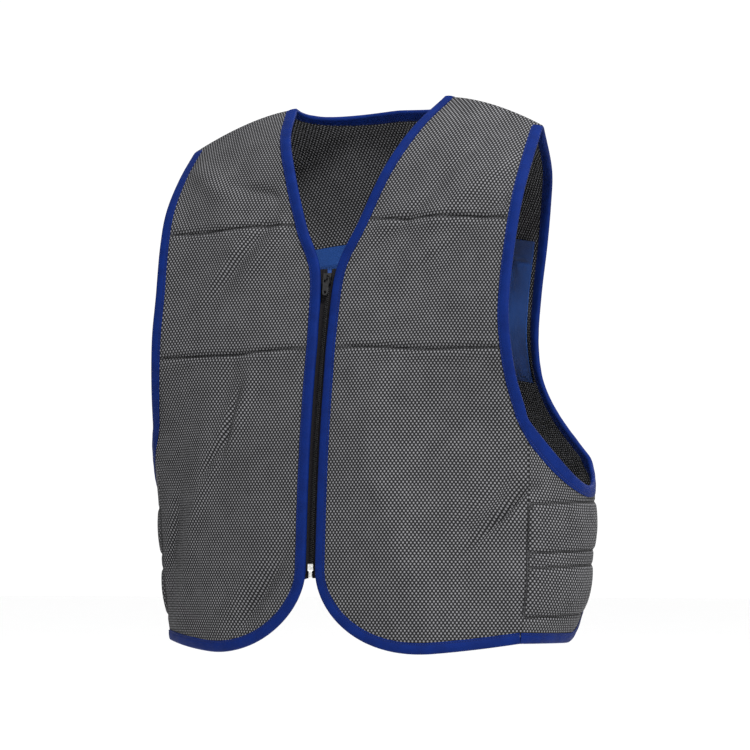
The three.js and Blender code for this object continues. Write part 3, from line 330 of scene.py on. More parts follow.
def hermite(stations, values, at, corners=()):
    """Cubic through values at growing stations; each tangent is the spacing-weighted mean of
    the two slopes beside it, and a corner keeps the slope of its own side."""
    stations = np.asarray(stations, float)
    values = np.asarray(values, float)
    spans = np.diff(stations)
    wide = spans.reshape((-1,) + (1,) * (values.ndim - 1))
    slopes = np.diff(values, axis=0) / wide
    middle = (slopes[:-1] * wide[1:] + slopes[1:] * wide[:-1]) / (wide[1:] + wide[:-1])
    start = np.concatenate([slopes[:1], middle])
    end = np.concatenate([middle, slopes[-1:]])
    for i in corners:
        start[i] = slopes[i]
        end[i - 1] = slopes[i - 1]
    at = np.asarray(at, float)
    k = np.clip(np.searchsorted(stations, at, side="left") - 1, 0, len(stations) - 2)
    t = (at - stations[k]) / spans[k]
    pick = (k,) if values.ndim == 1 else (k, np.arange(values.shape[1]))
    after = (k + 1,) + pick[1:]
    t2, t3 = t * t, t ** 3
    return ((2 * t3 - 3 * t2 + 1) * values[pick] + (t3 - 2 * t2 + t) * spans[k] * start[pick]
            + (3 * t2 - 2 * t3) * values[after] + (t3 - t2) * spans[k] * end[pick])


def smoothstep(value, low, high):
    """Nothing below low, one above high, and three squares less two cubes of the share between."""
    t = np.clip((value - low) / (high - low), 0, 1)
    return t * t * (3 - 2 * t)


def mix(a, b, t):
    """A share t of the way from a to b."""
    return a + (b - a) * t


def bell(value, width):
    """One at nothing, and falling to both sides by the square of the value over the width."""
    return np.exp(-((value / width) ** 2))


def row_stations(inner, outer):
    """Mean distance between the rows' two ends, summed from the hem and divided by the whole."""
    steps = (np.linalg.norm(np.diff(inner, axis=0), axis=1)
             + np.linalg.norm(np.diff(outer, axis=0), axis=1)) / 2
    reach = np.concatenate([[0], np.cumsum(steps)])
    return reach[-1], reach / reach[-1]


def neck_drop(share):
    """Height at a share of the way to the foot of the neckline, or past it to the hem."""
    return np.where(share <= 1, -share * NECK_DEPTH, -mix(NECK_DEPTH, LENGTH, share - 1))


def arm_drop(share, join, hem):
    """Height at a share of the way to the foot of the armhole, or past it to the hem."""
    return np.where(share <= 1, -mix(SHOULDER_DROP, join, share), -mix(join, hem, share - 1))


FRONT_INNER = np.stack([mix(ZIP_GAP_HALF + COVER, NECK_HALF, FRONT_ROWS[:, 0]),
                        -FRONT_ROWS[:, 1] * FRONT_DEPTH, neck_drop(FRONT_ROWS[:, 2])], -1)
FRONT_OUTER = np.stack([FRONT_ROWS[:, 3] * HALF_WIDTH, -FRONT_ROWS[:, 4] * FRONT_DEPTH,
                        arm_drop(FRONT_ROWS[:, 5], ARM_JOIN_FRONT, SIDE_LENGTH)], -1)
FRONT_HEIGHT, FRONT_UPS = row_stations(FRONT_INNER, FRONT_OUTER)
FRONT_JOIN = FRONT_UPS[FRONT_JOIN_ROW]
SEAM_HEIGHT = FRONT_JOIN * FRONT_HEIGHT
BACK_INNER = np.stack([np.zeros(len(BACK_ROWS)), BACK_ROWS[:, 0] * BACK_DEPTH,
                       -BACK_ROWS[:, 1] * BACK_LENGTH], -1)
BACK_OUTER = np.stack([BACK_ROWS[:, 2] * HALF_WIDTH, BACK_ROWS[:, 3] * BACK_DEPTH,
                       arm_drop(BACK_ROWS[:, 4], ARM_JOIN_BACK, SEAM_LENGTH)], -1)
BACK_HEIGHT, BACK_UPS = row_stations(BACK_INNER, BACK_OUTER)
BACK_JOIN = BACK_UPS[BACK_JOIN_ROW]


def front_base(across, up):
    """Front surface: each row is drawn from its inner to its outer end, where the depth follows
    the share across to the power full and the height to the power slope."""
    def at(column):
        return hermite(FRONT_UPS, column, up)
    run = np.maximum(across, 0)
    return np.stack([
        mix(at(FRONT_INNER[:, 0]), at(FRONT_OUTER[:, 0]), run),
        mix(at(FRONT_INNER[:, 1]), at(FRONT_OUTER[:, 1]), run ** at(FRONT_ROWS[:, 6])),
        mix(at(FRONT_INNER[:, 2]), at(FRONT_OUTER[:, 2]), run ** at(FRONT_ROWS[:, 7])),
    ], -1)


def shoulder_line(x):
    """Line shared by front and back: it falls by the shoulder's drop to the power of its slope."""
    share = (x - NECK_HALF) / (FRONT_OUTER[-1, 0] - NECK_HALF)
    fall = -SHOULDER_DROP * np.maximum(share, 0) ** FRONT_ROWS[-1, 7]
    return np.stack([x, FRONT_OUTER[-1, 1] * share, fall], -1)


def back_base(across, up):
    """Back surface: rows from the middle plane to the side, as the front's, which end in the
    shoulder line, with one smooth curve through them at each share across."""
    run = np.maximum(across, 0)
    x = across * BACK_OUTER[:, :1]
    y = mix(BACK_INNER[:, 1:2], BACK_OUTER[:, 1:2], run ** BACK_ROWS[:, 5:6])
    z = mix(BACK_INNER[:, 2:], BACK_OUTER[:, 2:], run ** BACK_ROWS[:, 6:7])
    top = shoulder_line(x[-1])
    y[-1], z[-1] = top[:, 1], top[:, 2]
    return np.stack([hermite(BACK_UPS, v, up, [BACK_JOIN_ROW]) for v in (x, y, z)], -1)


def fold_push(folds, side, x, z):
    """Sum of soft ridges: depth times a bell of the distances along and across each fold."""
    push = np.zeros_like(x)
    for _, fx, drop, lean, length, width, depth in folds[folds[:, 0] == side]:
        turn = math.radians(lean)
        dx, dz = x - fx * HALF_WIDTH, z + drop * LENGTH
        along = dx * math.sin(turn) + dz * math.cos(turn)
        over = dx * math.cos(turn) - dz * math.sin(turn)
        push += depth * np.exp(-((along / length) ** 2) - (over / width) ** 2)
    return push


def surface_normal(place, across, up, way=1):
    """Cross product of the surface's two directions, from points a small step to each side."""
    a = place(np.maximum(across - STEP, 0), up)
    b = place(np.minimum(across + STEP, 1), up)
    c = place(across, np.maximum(up - STEP, 0))
    d = place(across, np.minimum(up + STEP, 1))
    normal = np.cross(b - a, d - c) * way
    return normal / np.linalg.norm(normal, axis=-1, keepdims=True)


def folded(base, folds, side, way):
    """A surface pushed out along its normals by its soft folds, which fade at its edges."""
    inner, outer, top, low = FOLD_FADES

    def place(across, up):
        point = base(across, up)
        fade = (smoothstep(across, 0, inner) * smoothstep(1 - across, 0, outer)
                * smoothstep(1 - up, 0, top) * smoothstep(up, 0, low))
        push = fold_push(folds, side, point[:, 0], point[:, 2]) * fade
        return point + surface_normal(base, across, up, way) * push[:, None]
    return place


FRONTS = {side: folded(front_base, FRONT_FOLDS, side, 1) for side in SIDES}
BACKS = {side: folded(back_base, BACK_FOLDS, side, -1) for side in SIDES}


def side_base(across, up):
    """Side: a Bezier curve from the front seam to the back seam at each height, led outwards by
    the bulge, and lowered towards the armhole by a half sine wave."""
    front = front_base(np.ones_like(up), up * FRONT_JOIN)
    back = back_base(np.ones_like(up), up * BACK_JOIN)
    bulge = SIDE_BULGE * hermite(SIDE_ROWS[:, 0], SIDE_ROWS[:, 1], up)
    span = back[:, 1] - front[:, 1]
    first = np.stack([front[:, 0] + bulge, front[:, 1] + SIDE_LEAD * span,
                      mix(front[:, 2], back[:, 2], SIDE_LEAD)], -1)
    second = np.stack([back[:, 0] + bulge, back[:, 1] - SIDE_LEAD * span,
                       mix(back[:, 2], front[:, 2], SIDE_LEAD)], -1)
    t = across[:, None]
    point = ((1 - t) ** 3 * front + 3 * (1 - t) ** 2 * t * first
             + 3 * (1 - t) * t ** 2 * second + t ** 3 * back)
    late = smoothstep(across, RISE_START, RISE_END)
    rise = mix(late, across, np.minimum(up / RISE_FADE, 1))
    point[:, 2] = mix(front[:, 2], back[:, 2], rise)
    dip = np.sin(math.pi * np.clip(across, 0, 1)) ** DIP_POWER
    point[:, 2] -= ARM_DIP * dip * up * up
    return point


def arc_lengths(points):
    """Distance run along the first axis of a grid of points, starting at zero."""
    steps = np.linalg.norm(np.diff(points, axis=0), axis=-1)
    return np.concatenate([np.zeros((1,) + steps.shape[1:]), np.cumsum(steps, axis=0)])


def grid_normals(points):
    """Normals of a grid of points, from the differences along its two axes."""
    return unit(np.cross(np.gradient(points, axis=1), np.gradient(points, axis=0)))


def unit(v):
    """Vectors at length one."""
    return v / np.maximum(np.linalg.norm(v, axis=-1, keepdims=True), 1e-12)


def grid_faces(rows, columns, wrap=False):
    """Quads of a grid of rows by columns points; wrap joins the last column to the first."""
    j = np.arange(rows - 1)[:, None]
    i = np.arange(columns if wrap else columns - 1)[None, :]
    a = j * columns + i
    b = j * columns + (i + 1) % columns
    return np.stack([a, b, b + columns, a + columns], -1).reshape(-1, 4)


def make_object(name, points, faces, maps=None, ends=()):
    """Mesh object in metres from points in millimetres: quads, and end faces of any length.
    maps are UV layers given per point."""
    corners = np.concatenate([np.asarray(faces).ravel(), *ends]).astype(np.int32)
    starts = np.arange(0, faces.size, faces.shape[1])
    lengths = [len(end) for end in ends]
    starts = np.concatenate([starts, faces.size + np.cumsum([0] + lengths)[:-1]]).astype(np.int32)
    mesh = bpy.data.meshes.new(name)
    mesh.vertices.add(len(points))
    mesh.vertices.foreach_set("co", (np.asarray(points) * MM).astype(np.float32).ravel())
    mesh.loops.add(len(corners))
    mesh.loops.foreach_set("vertex_index", corners)
    mesh.polygons.add(len(starts))
    mesh.polygons.foreach_set("loop_start", starts)
    for layer, values in (maps or {}).items():
        uv = mesh.uv_layers.new(name=layer)
        uv.data.foreach_set("uv", (values[corners] * MM).astype(np.float32).ravel())
    mesh.update(calc_edges=True)
    mesh.validate()
    mesh.polygons.foreach_set("use_smooth", np.ones(len(mesh.polygons), bool))
    mesh.set_sharp_from_angle(angle=math.radians(SHARP_ANGLE))
    if not mesh.polygons:
        raise ValueError(f"{name} has no faces")
    obj = bpy.data.objects.new(name, mesh)
    bpy.context.scene.collection.objects.link(obj)
    return obj


def cloth_object(name, middle, normals, thickness, maps, flip=False):
    """Two copies of a grid, half the thickness to each side of it, closed by a wall round it."""
    rows, columns = middle.shape[:2]
    half = thickness / 2
    points = np.concatenate([(middle + normals * half).reshape(-1, 3),
                             (middle - normals * half).reshape(-1, 3)])
    count = rows * columns
    front = grid_faces(rows, columns)
    index = np.arange(count).reshape(rows, columns)
    ring = np.concatenate([index[0, :], index[1:, -1], index[-1, -2::-1], index[-2:0:-1, 0]])
    after = np.roll(ring, -1)
    wall = np.stack([after, ring, ring + count, after + count], -1)
    faces = np.concatenate([front, front[:, ::-1] + count, wall])
    if flip:
        faces = faces[:, ::-1]
    both = {key: np.concatenate([value.reshape(-1, 2)] * 2) for key, value in maps.items()}
    return make_object(name, points, faces, both)


def finish_piece(obj, material, nodes):
    """Gives a piece its material, hangs it on the vest's body and hides the solids of the vest
    that it stands for.
    """
    obj.data.materials.append(material)
    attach(obj, BODY)
    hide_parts(*nodes)


def mirror(points):
    """Points on the other side of the middle plane."""
    return points * np.array([-1.0, 1.0, 1.0])


def round_corner(a, b):
    """Turns a square corner into a quarter of an ellipse: each square ring keeps its distance to
    the edge and is bent to an arc."""
    p, q = a / CORNER_WIDTH, b / CORNER_HEIGHT
    ring = np.minimum(p, q)
    radius = 1 - ring
    inside = (radius > 0) & (np.maximum(p, q) < 1)
    turn = (math.pi / 4) * (1 - (np.maximum(p, q) - ring) / np.where(radius > 0, radius, 1))
    near, far = 1 - radius * np.cos(turn), 1 - radius * np.sin(turn)
    upright = q >= p
    new_a = np.where(upright, near, far) * CORNER_WIDTH
    new_b = np.where(upright, far, near) * CORNER_HEIGHT
    return np.where(inside, new_a, a), np.where(inside, new_b, b)


def front_width(up):
    """Width of the front at a share of the way up it."""
    return hermite(FRONT_UPS, FRONT_OUTER[:, 0], up) - hermite(FRONT_UPS, FRONT_INNER[:, 0], up)


def beside_bands(height, ease):
    """One at the height of the bands, fading to nothing below and above them."""
    return smoothstep(height, BAND_BASE - ease[0], BAND_BASE + ease[1]) * (
        1 - smoothstep(height, BAND_TOP - ease[1], BAND_TOP + ease[0]))


def side_seam_share(z):
    """One at the stitched seam between front and side, beside the bands."""
    return beside_bands(SIDE_LENGTH + z, (BAND_EASE, 0))


def band_relief(height, run):
    """Relief of the side's elastic from the seam onwards: two swollen bands, each a half sine wave
    of the height, with small upright puckers, and a groove at each stitch line."""
    relief = np.zeros_like(height)
    into = smoothstep(run, 0, BAND_START)
    tight, swing, slow = PUCKER_WAVES
    depth, width = BAND_GROOVE
    for base in BAND_LINES[::2]:
        crown = np.sin(math.pi * np.clip((height - base) / BAND_HEIGHT, 0, 1)) ** CROWN_POWER
        pucker = PUCKER * np.sin(run / tight + swing * np.sin(run / slow) + base) * crown
        relief += into * (BAND_SWELL * crown + pucker * smoothstep(run, 0, BAND_EASE))
        for line in (base, base + BAND_HEIGHT):
            relief -= depth * into * bell(height - line, width)
    return relief - beside_bands(height, (BAND_CORNER, BAND_CORNER)) * bell(run, BAND_END_WIDTH)


def band_seam(height, run):
    """Seam map of the side bands: distance along the nearest stitch line and distance from it."""
    away = height[..., None] - np.array(BAND_LINES)
    nearest = np.take_along_axis(away, np.abs(away).argmin(-1)[..., None], -1)[..., 0]
    upright = np.where((height > BAND_BASE) & (height < BAND_TOP), run, FAR)
    pick = np.abs(upright) < np.abs(nearest)
    return np.stack([np.where(pick, height, run), np.where(pick, upright, nearest)], -1)


def share_grid(columns, rows):
    """Shares up and across at the points of a grid."""
    return np.meshgrid(np.linspace(0, 1, rows), np.linspace(0, 1, columns), indexing="ij")


def sample_table(table, across, up):
    """Bilinear value of a table of maps at shares across and up."""
    rows, columns = table.shape[:2]
    x = np.clip(across, 0, 1) * (columns - 1)
    y = np.clip(up, 0, 1) * (rows - 1)
    i = np.minimum(x.astype(int), columns - 2)
    j = np.minimum(y.astype(int), rows - 2)
    fx, fy = (x - i)[..., None], (y - j)[..., None]
    low = mix(table[j, i], table[j, i + 1], fx)
    high = mix(table[j + 1, i], table[j + 1, i + 1], fx)
    return mix(low, high, fy)


def cloth_table(place, left_of=None):
    """Cloth map of a surface: the distance along its rows, from the plane x = 0 or from the map
    of the surface before it, and the distance up its columns, from their lowest point."""
    up, across = share_grid(*TABLE_GRID)
    points = place(across.ravel(), up.ravel()).reshape(up.shape + (3,))
    over = arc_lengths(points.transpose(1, 0, 2)).T
    first = points[:, :1, 0] if left_of is None else left_of[:, -1:, 0]
    return np.stack([first + over, points[:1, :, 2] + arc_lengths(points)], -1)


def front_shape(side):
    """One front: rows and columns of flat cloth, bent round its lower corner and carried onto the
    front surface, with sunk stitch lines, creases and the start of the elastic bands."""
    columns, rows = FRONT_GRID
    level, share = share_grid(columns, rows)
    width = front_width(level.ravel()).reshape(rows, columns)
    flat_a, flat_b = round_corner(share * width, level * FRONT_HEIGHT)
    up = flat_b / FRONT_HEIGHT
    reach = front_width(up.ravel()).reshape(rows, columns)
    across = np.where(share == 1, 1.0, np.clip(flat_a / reach, 0, 1))
    place = FRONTS[side]
    middle = place(across.ravel(), up.ravel()).reshape(rows, columns, 3)
    normals = surface_normal(place, across.ravel(), up.ravel()).reshape(rows, columns, 3)
    x, z = middle[..., 0], middle[..., 2]
    from_arm, from_zip = (1 - across) * reach, across * reach
    over_join = smoothstep(up, FRONT_JOIN - JOIN_FADE, FRONT_JOIN)
    by_arm = mix(1.0, smoothstep(from_arm, INSET, INSET + EASE), over_join)
    corner = np.hypot(np.maximum(CORNER_WIDTH - flat_a, 0) / CORNER_WIDTH,
                      np.maximum(CORNER_HEIGHT - flat_b, 0) / CORNER_HEIGHT)
    by_corner = smoothstep((1 - corner) * CORNER_HEIGHT, INSET, INSET + WIDE_EASE)
    free = (smoothstep(from_zip, INSET, INSET + EASE) * by_arm * by_corner
            * smoothstep(flat_b, INSET, INSET + EASE) * smoothstep(1 - up, 0.0, JOIN_FADE))
    relief = fold_push(FRONT_CREASES, side, x, z)
    relief *= mix(1.0, smoothstep(from_arm, *ARM_FADE), over_join)
    seam = np.stack([from_zip, np.full_like(from_zip, FAR)], -1)
    pucker = LINE_PUCKER[0] * np.sin(from_zip / 2.1 + np.sin(from_zip / 13))
    for _, inner, outer in CHEST_LINES[CHEST_LINES[:, 0] == side]:
        away = -z - mix(inner, outer, across) - LINE_BEND[0] * np.sin(across * LINE_BEND[1] + inner)
        ridge = LINE_RIDGE[0] * bell(np.abs(away) - LINE_RIDGE[1], LINE_RIDGE[2])
        relief += ridge - LINE_GROOVE[0] * bell(away, LINE_GROOVE[1])
        relief += pucker * bell(away, LINE_PUCKER[1])
        nearer = np.abs(away) < np.abs(seam[..., 1])
        seam[..., 1] = np.where(nearer, away, seam[..., 1])
    relief -= SEAM_GROOVE * side_seam_share(z) * bell(from_arm, SEAM_WIDTH)
    upright = np.stack([z, np.where(side_seam_share(z) > 0.5, from_arm, FAR)], -1)
    seam = np.where((np.abs(upright[..., 1]) < np.abs(seam[..., 1]))[..., None], upright, seam)
    relief += FRONT_WAVE * np.sin(x / 17 + z / 23) * np.sin(z / 19 - x / 31 + side)
    middle = middle + normals * (relief * free)[..., None]
    return middle, sample_table(cloth_table(place), across, up), seam


def side_shape(side):
    """A side: its surface with the two elastic bands and their puckers. The front's creases run on
    into it and fade."""
    columns, rows = SIDE_GRID
    up, across = share_grid(columns, rows)
    middle = side_base(across.ravel(), up.ravel()).reshape(rows, columns, 3)
    normals = surface_normal(side_base, across.ravel(), up.ravel()).reshape(rows, columns, 3)
    front = cloth_table(front_base)[:, -1]
    level = np.linspace(0, 1, len(front)) * FRONT_JOIN
    edge = sample_table(np.stack([front, front], 1), np.zeros(len(front)), level)
    cloth = sample_table(cloth_table(side_base, edge[:, None]), across, up)
    run = arc_lengths(middle.transpose(1, 0, 2)).T
    before = surface_normal(FRONTS[side], np.ones(rows), up[:, 0] * FRONT_JOIN)[:, None]
    normals = unit(mix(before, normals, smoothstep(run, 0, BLEND_RUN)[..., None]))
    level = up * SEAM_HEIGHT
    height = SIDE_LENGTH + middle[..., 2] - BAND_CLIMB * across
    free = (smoothstep(level, INSET, INSET + EASE)
            * smoothstep(SEAM_HEIGHT - level, INSET, INSET + EASE))
    reach = smoothstep(across, 0, 0.02) * (1 - smoothstep(across, 0.93, 1.0))
    seam = side_seam_share(middle[..., 2])
    crease = fold_push(FRONT_CREASES, side, middle[:, :1, 0] + CREASE_LEAN * run, middle[:, :1, 2])
    crease *= (1 - smoothstep(run, *CREASE_RUN)) * (1 - BAND_HOLD * seam * reach)
    relief = band_relief(height, run) * reach + crease - SEAM_GROOVE * seam * bell(run, SEAM_WIDTH)
    middle = middle + normals * (relief * free)[..., None]
    return middle, cloth, band_seam(height, run)


def neck_scoop():
    """Shares of the way down the back's middle line to the neck edge: the first point as far back
    as the neck is deep."""
    down = np.linspace(0, *SCOOP_SEARCH)
    middle = back_base(np.zeros_like(down), 1 - down)
    return down[np.argmax(middle[:, 1] >= BACK_NECK_DEPTH)]


NECK_SCOOP = neck_scoop()


def back_place(x, up):
    """The back at a width, on either side of the middle plane, with its outward normal."""
    points, normals = np.empty((2,) + x.shape + (3,))
    width = back_base(np.ones_like(up), up)[:, 0]
    across = np.minimum(np.abs(x) / width, 1)
    for sign in (-1, 1):
        here = x < 0 if sign < 0 else x >= 0
        place = BACKS[sign]
        scale = np.array([sign, 1.0, 1.0])
        points[here] = place(across[here], up[here]) * scale
        normals[here] = surface_normal(place, across[here], up[here], -1) * scale
    return points, normals


def back_shape():
    """The back: columns that end in the neck scoop, a quarter of an ellipse to each side, or in
    the shoulder line, with rows drawn evenly up to them."""
    turn = np.linspace(0, math.pi / 2, BACK_COLUMNS)
    tip = BACK_OUTER[-1, 0]
    beside = np.linspace(NECK_HALF, tip, BACK_COLUMNS)[1:]
    half_x = np.concatenate([NECK_HALF * np.sin(turn), beside])
    half_top = np.concatenate([1 - NECK_SCOOP * np.cos(turn), np.ones(len(beside))])
    column_x = np.concatenate([-half_x[:0:-1], half_x])
    column_top = np.concatenate([half_top[:0:-1], half_top])
    level = np.linspace(0, 1, BACK_LEVELS)[:, None]
    lift = np.maximum((level - BACK_JOIN) / (1 - BACK_JOIN), 0)
    up = np.where(level < BACK_JOIN, level, mix(BACK_JOIN, column_top, lift))
    share = column_x / tip
    width = back_base(np.ones(up.size), up.ravel())[:, 0].reshape(up.shape)
    top_width = back_base(np.ones(len(column_top)), column_top)[:, 0]
    x = share * width + lift ** 2 * (column_x - share * top_width)
    shape = up.shape
    middle, normals = back_place(x.ravel(), up.ravel())
    middle, normals = middle.reshape(shape + (3,)), normals.reshape(shape + (3,))
    cloth = sample_table(cloth_table(back_base), np.abs(x) / width, up)
    cloth[..., 0] *= np.sign(x)
    edge = np.minimum(width - np.abs(x), (1 - up) * BACK_HEIGHT)
    free = (smoothstep(edge, INSET, INSET + WIDE_EASE)
            * smoothstep(up * BACK_HEIGHT, INSET, INSET + EASE))
    relief = BACK_WAVE * np.sin(x / 23 + up * 19) * np.sin(up * 31 - x / 37)
    middle = middle + normals * (relief * free)[..., None]
    return middle, cloth, np.stack([x, np.full(shape, FAR)], -1)


def edge_stations(across, up, place):
    """The same edge at even distances along the surface."""
    run = arc_lengths(place(across, up))
    count = max(int(round(run[-1] / EDGE_SPACING)), 4)
    even = np.linspace(0, run[-1], count + 1)
    return np.interp(even, run, across), np.interp(even, run, up)


# Depths in from an edge at which its strip has points
DEPTHS = np.array([0.0, 0.5, 1.4, 2.6, 4.4, 6.6, 8.8, 10.2, 10.8, INSET])


def edge_strip(place, across, up, way, toward, ends=(None, None)):
    """Points and normals of the surface at set depths in from its edge: the way in is square to
    the edge in the tangent plane, and is turned into shares by the surface's two directions.
    ends may give the edge's direction at its two ends, where it meets the next piece."""
    across, up = edge_stations(across, up, place)
    edge = place(across, up)
    normal = surface_normal(place, across, up, way)
    along = unit(np.gradient(edge, axis=0))
    for k, end in zip((0, -1), ends):
        if end is not None:
            along[k] = end
    inward = unit(np.cross(normal, along)) * toward
    low_a, high_a = np.clip(across - STEP, 0, 1), np.clip(across + STEP, 0, 1)
    low_u, high_u = np.clip(up - STEP, 0, 1), np.clip(up + STEP, 0, 1)
    da = (place(high_a, up) - place(low_a, up)) / (high_a - low_a)[:, None]
    du = (place(across, high_u) - place(across, low_u)) / (high_u - low_u)[:, None]
    aa, uu, au = (da * da).sum(-1), (du * du).sum(-1), (da * du).sum(-1)
    ra, ru = (da * inward).sum(-1), (du * inward).sum(-1)
    determinant = aa * uu - au * au
    move_a, move_u = (uu * ra - au * ru) / determinant, (aa * ru - au * ra) / determinant
    points, normals = [], []
    for depth in DEPTHS:
        a = np.clip(across + move_a * depth, 0, 1)
        u = np.clip(up + move_u * depth, 0, 1)
        points.append(place(a, u))
        normals.append(surface_normal(place, a, u, way))
    return np.stack(points, 1), np.stack(normals, 1)


def joined_strips(strips, closed, passes=3):
    """Strips end to end, with their joints eased by a running mean of neighbours."""
    points = np.concatenate([s[0] for s in strips])
    normals = np.concatenate([s[1] for s in strips])
    for _ in range(passes):
        for values in (points, normals):
            if closed:
                values[:] = (np.roll(values, 1, 0) + 2 * values + np.roll(values, -1, 0)) / 4
            else:
                values[1:-1] = (values[:-2] + 2 * values[1:-1] + values[2:]) / 4
    return points, unit(normals)


# Height, length and start of the binding's ripples, the depth in from the edge where they end, and the
# depth station that gives the way out
RIPPLES = ((0.10, 3.1, 1.0), (0.14, 7.7, 2.0), (0.12, 19.0, 3.0))
RIPPLE_END = 10.5
OUT_STATION = 3

# Half section of the binding from its stitched edge to the fold: depth in from the cloth's edge
# and height over the cloth's middle, then the slot that the cloth lies in
FOLD = np.array([
    [11.3, 1.62], [11.1, 2.30], [10.3, 2.52], [9.3, 2.40], [8.5, 2.62], [6.4, 2.92], [4.2, 3.00],
    [2.0, 2.92], [0.4, 2.66], [-0.7, 2.05], [-1.3, 1.0], [-1.45, 0.0],
])
SLOT = np.array([[-0.3, 0.0], [-0.3, 1.2], [0.0, 1.5], [4.4, 1.5], [11.3, 1.5]])
CUT_WIDTH = 2 * BIND_WIDTH + 2 * HALF_MESH + 2 * COVER


def binding_object(name, strip, closed, material, nodes, seed):
    """Folded tape: a closed section carried along the strip. Each section point stands over the
    strip's point at its depth, or past the fold along the way out, with a small ripple."""
    points, normals = strip
    count = len(points)
    outer = np.concatenate([FOLD, FOLD[-2::-1] * [1, -1]])
    inner = np.concatenate([SLOT[::-1] * [1, -1], SLOT[1:]])
    section = np.concatenate([outer, inner])
    run = arc_lengths(points[:, 0])
    out = unit(points[:, 0] - points[:, OUT_STATION])
    ripple = sum(height * np.sin(run / length + turn * seed) for height, length, turn in RIPPLES)
    layers, maps = [], []
    over = arc_lengths(section)
    for k, (depth, height) in enumerate(section):
        inside = max(depth, 0.0)
        i = int(np.clip(np.searchsorted(DEPTHS, inside, side="right") - 1, 0, len(DEPTHS) - 2))
        share = (inside - DEPTHS[i]) / (DEPTHS[i + 1] - DEPTHS[i])
        point = mix(points[:, i], points[:, i + 1], share)
        normal = unit(mix(normals[:, i], normals[:, i + 1], share))
        point = point + out * max(-depth, 0.0)
        loose = k < len(outer) and 0 < depth < RIPPLE_END
        puff = ripple * (1.0 if loose else 0.0) * np.sign(height)
        layers.append(point + normal * (height + puff)[:, None])
        maps.append(np.stack([run, np.full(count, over[k])], -1))
    grid = np.stack(layers, 1)
    maps = np.stack(maps, 1)
    if not closed:
        grid[0] += unit(grid[0] - grid[1]) * END_LAP
        grid[-1] += unit(grid[-1] - grid[-2]) * END_LAP
    size = len(section)
    faces = grid_faces(count, size, wrap=True)
    if closed:
        k = np.arange(size)
        last = (count - 1) * size
        seam = np.stack([last + k, last + (k + 1) % size, (k + 1) % size, k], -1)
        faces = np.concatenate([faces, seam])
    ends = [] if closed else [np.arange(size)[::-1], np.arange(size) + (count - 1) * size]
    flat = grid.reshape(-1, 3)
    mid = faces[: size * 4]
    a, b, c = flat[mid[:, 0]], flat[mid[:, 1]], flat[mid[:, 2]]
    turn = np.cross(b - a, c - a)
    centre = grid.mean(1)[mid[:, 0] // size]
    if ((a - centre) * turn).sum() <= 0:
        faces = faces[:, ::-1]
        ends = [e[::-1] for e in ends]
    obj = make_object(name, flat, faces, {"tape": maps.reshape(-1, 2)}, ends)
    finish_piece(obj, material, nodes)


def back_up_at(across, z):
    """Share of the way up the back at a height, halved in on for each point."""
    low, high = np.zeros_like(z), np.ones_like(z)
    for _ in range(HALVINGS):
        middle = (low + high) / 2
        below = back_base(across, middle)[:, 2] < z
        low, high = np.where(below, middle, low), np.where(below, high, middle)
    return low


def pocket_points(run, z, half_width, lift):
    """Points inside the back: run goes from -1 to 1 across the pocket at a height z, and lift is
    the distance in from the middle of the back's cloth."""
    across = np.zeros_like(run)
    for _ in range(POCKET_PASSES):
        up = back_up_at(across, z)
        width = back_base(np.ones_like(up), up)[:, 0]
        across = np.minimum(np.abs(run) * half_width / width, 1)
    points, normals = back_place(run * half_width, up)
    return points - normals * lift[:, None], -normals


def pocket_grid(columns, rows):
    """Shares across a pocket, from -1 to 1, and up it."""
    share, run = np.meshgrid(np.linspace(0, 1, rows), np.linspace(-1, 1, columns), indexing="ij")
    return run.ravel(), share.ravel()


def clear_half(z):
    """Half width that stays clear of the armhole bindings."""
    up = back_up_at(np.ones_like(z), z)
    return back_base(np.ones_like(up), up)[:, 0] - INSET * ARM_CLEAR - 2 * COVER


def upper_pocket_shape():
    """Nylon pocket: a flat hem band, a gathered line under it and a body whose gathers die away
    downwards; the sum of slanted waves, each faded by the distance from the gathered line."""
    columns, rows = UPPER_POCKET_GRID
    run, share = pocket_grid(columns, rows)
    z = -UPPER_POCKET_TOP - UPPER_POCKET_HEIGHT * (1 - share) - POCKET_SAG * run ** 2
    half = clear_half(z)
    x = run * half
    below = UPPER_POCKET_HEIGHT * (1 - share) - HEM_BAND
    body = smoothstep(below, 0, 5)
    edge = smoothstep(1 - np.abs(run), 0, 0.08) * smoothstep(share, 0, 0.05)
    gather = np.sin(x / 2.3 + 2.2 * np.sin(x / 17)) * np.exp(-np.maximum(below, 0) / GATHER_FADE)
    drape = (np.sin(x / 8 + z / 33 + np.sin(z / 25)) + 0.7 * np.sin(x / 13 - z / 21)
             + 0.5 * np.sin(z / 9 + 2 * np.sin(x / 30)))
    puff = POCKET_PUFF * np.sin(math.pi * np.clip(share * 1.12, 0, 1)) ** 0.7
    groove, width = GATHER_GROOVE
    lift = HALF_MESH + POCKET_EASE + NYLON_THICK / 2 + 0.2 + edge * (
        puff + body * (GATHER * gather + DRAPE * drape) - groove * bell(below, width))
    lift = np.maximum(lift, HALF_MESH + POCKET_EASE)
    points, _ = pocket_points(run, z, half, lift)
    return (points.reshape(rows, columns, 3), np.stack([x, z], -1).reshape(rows, columns, 2),
            np.stack([x, below], -1).reshape(rows, columns, 2))


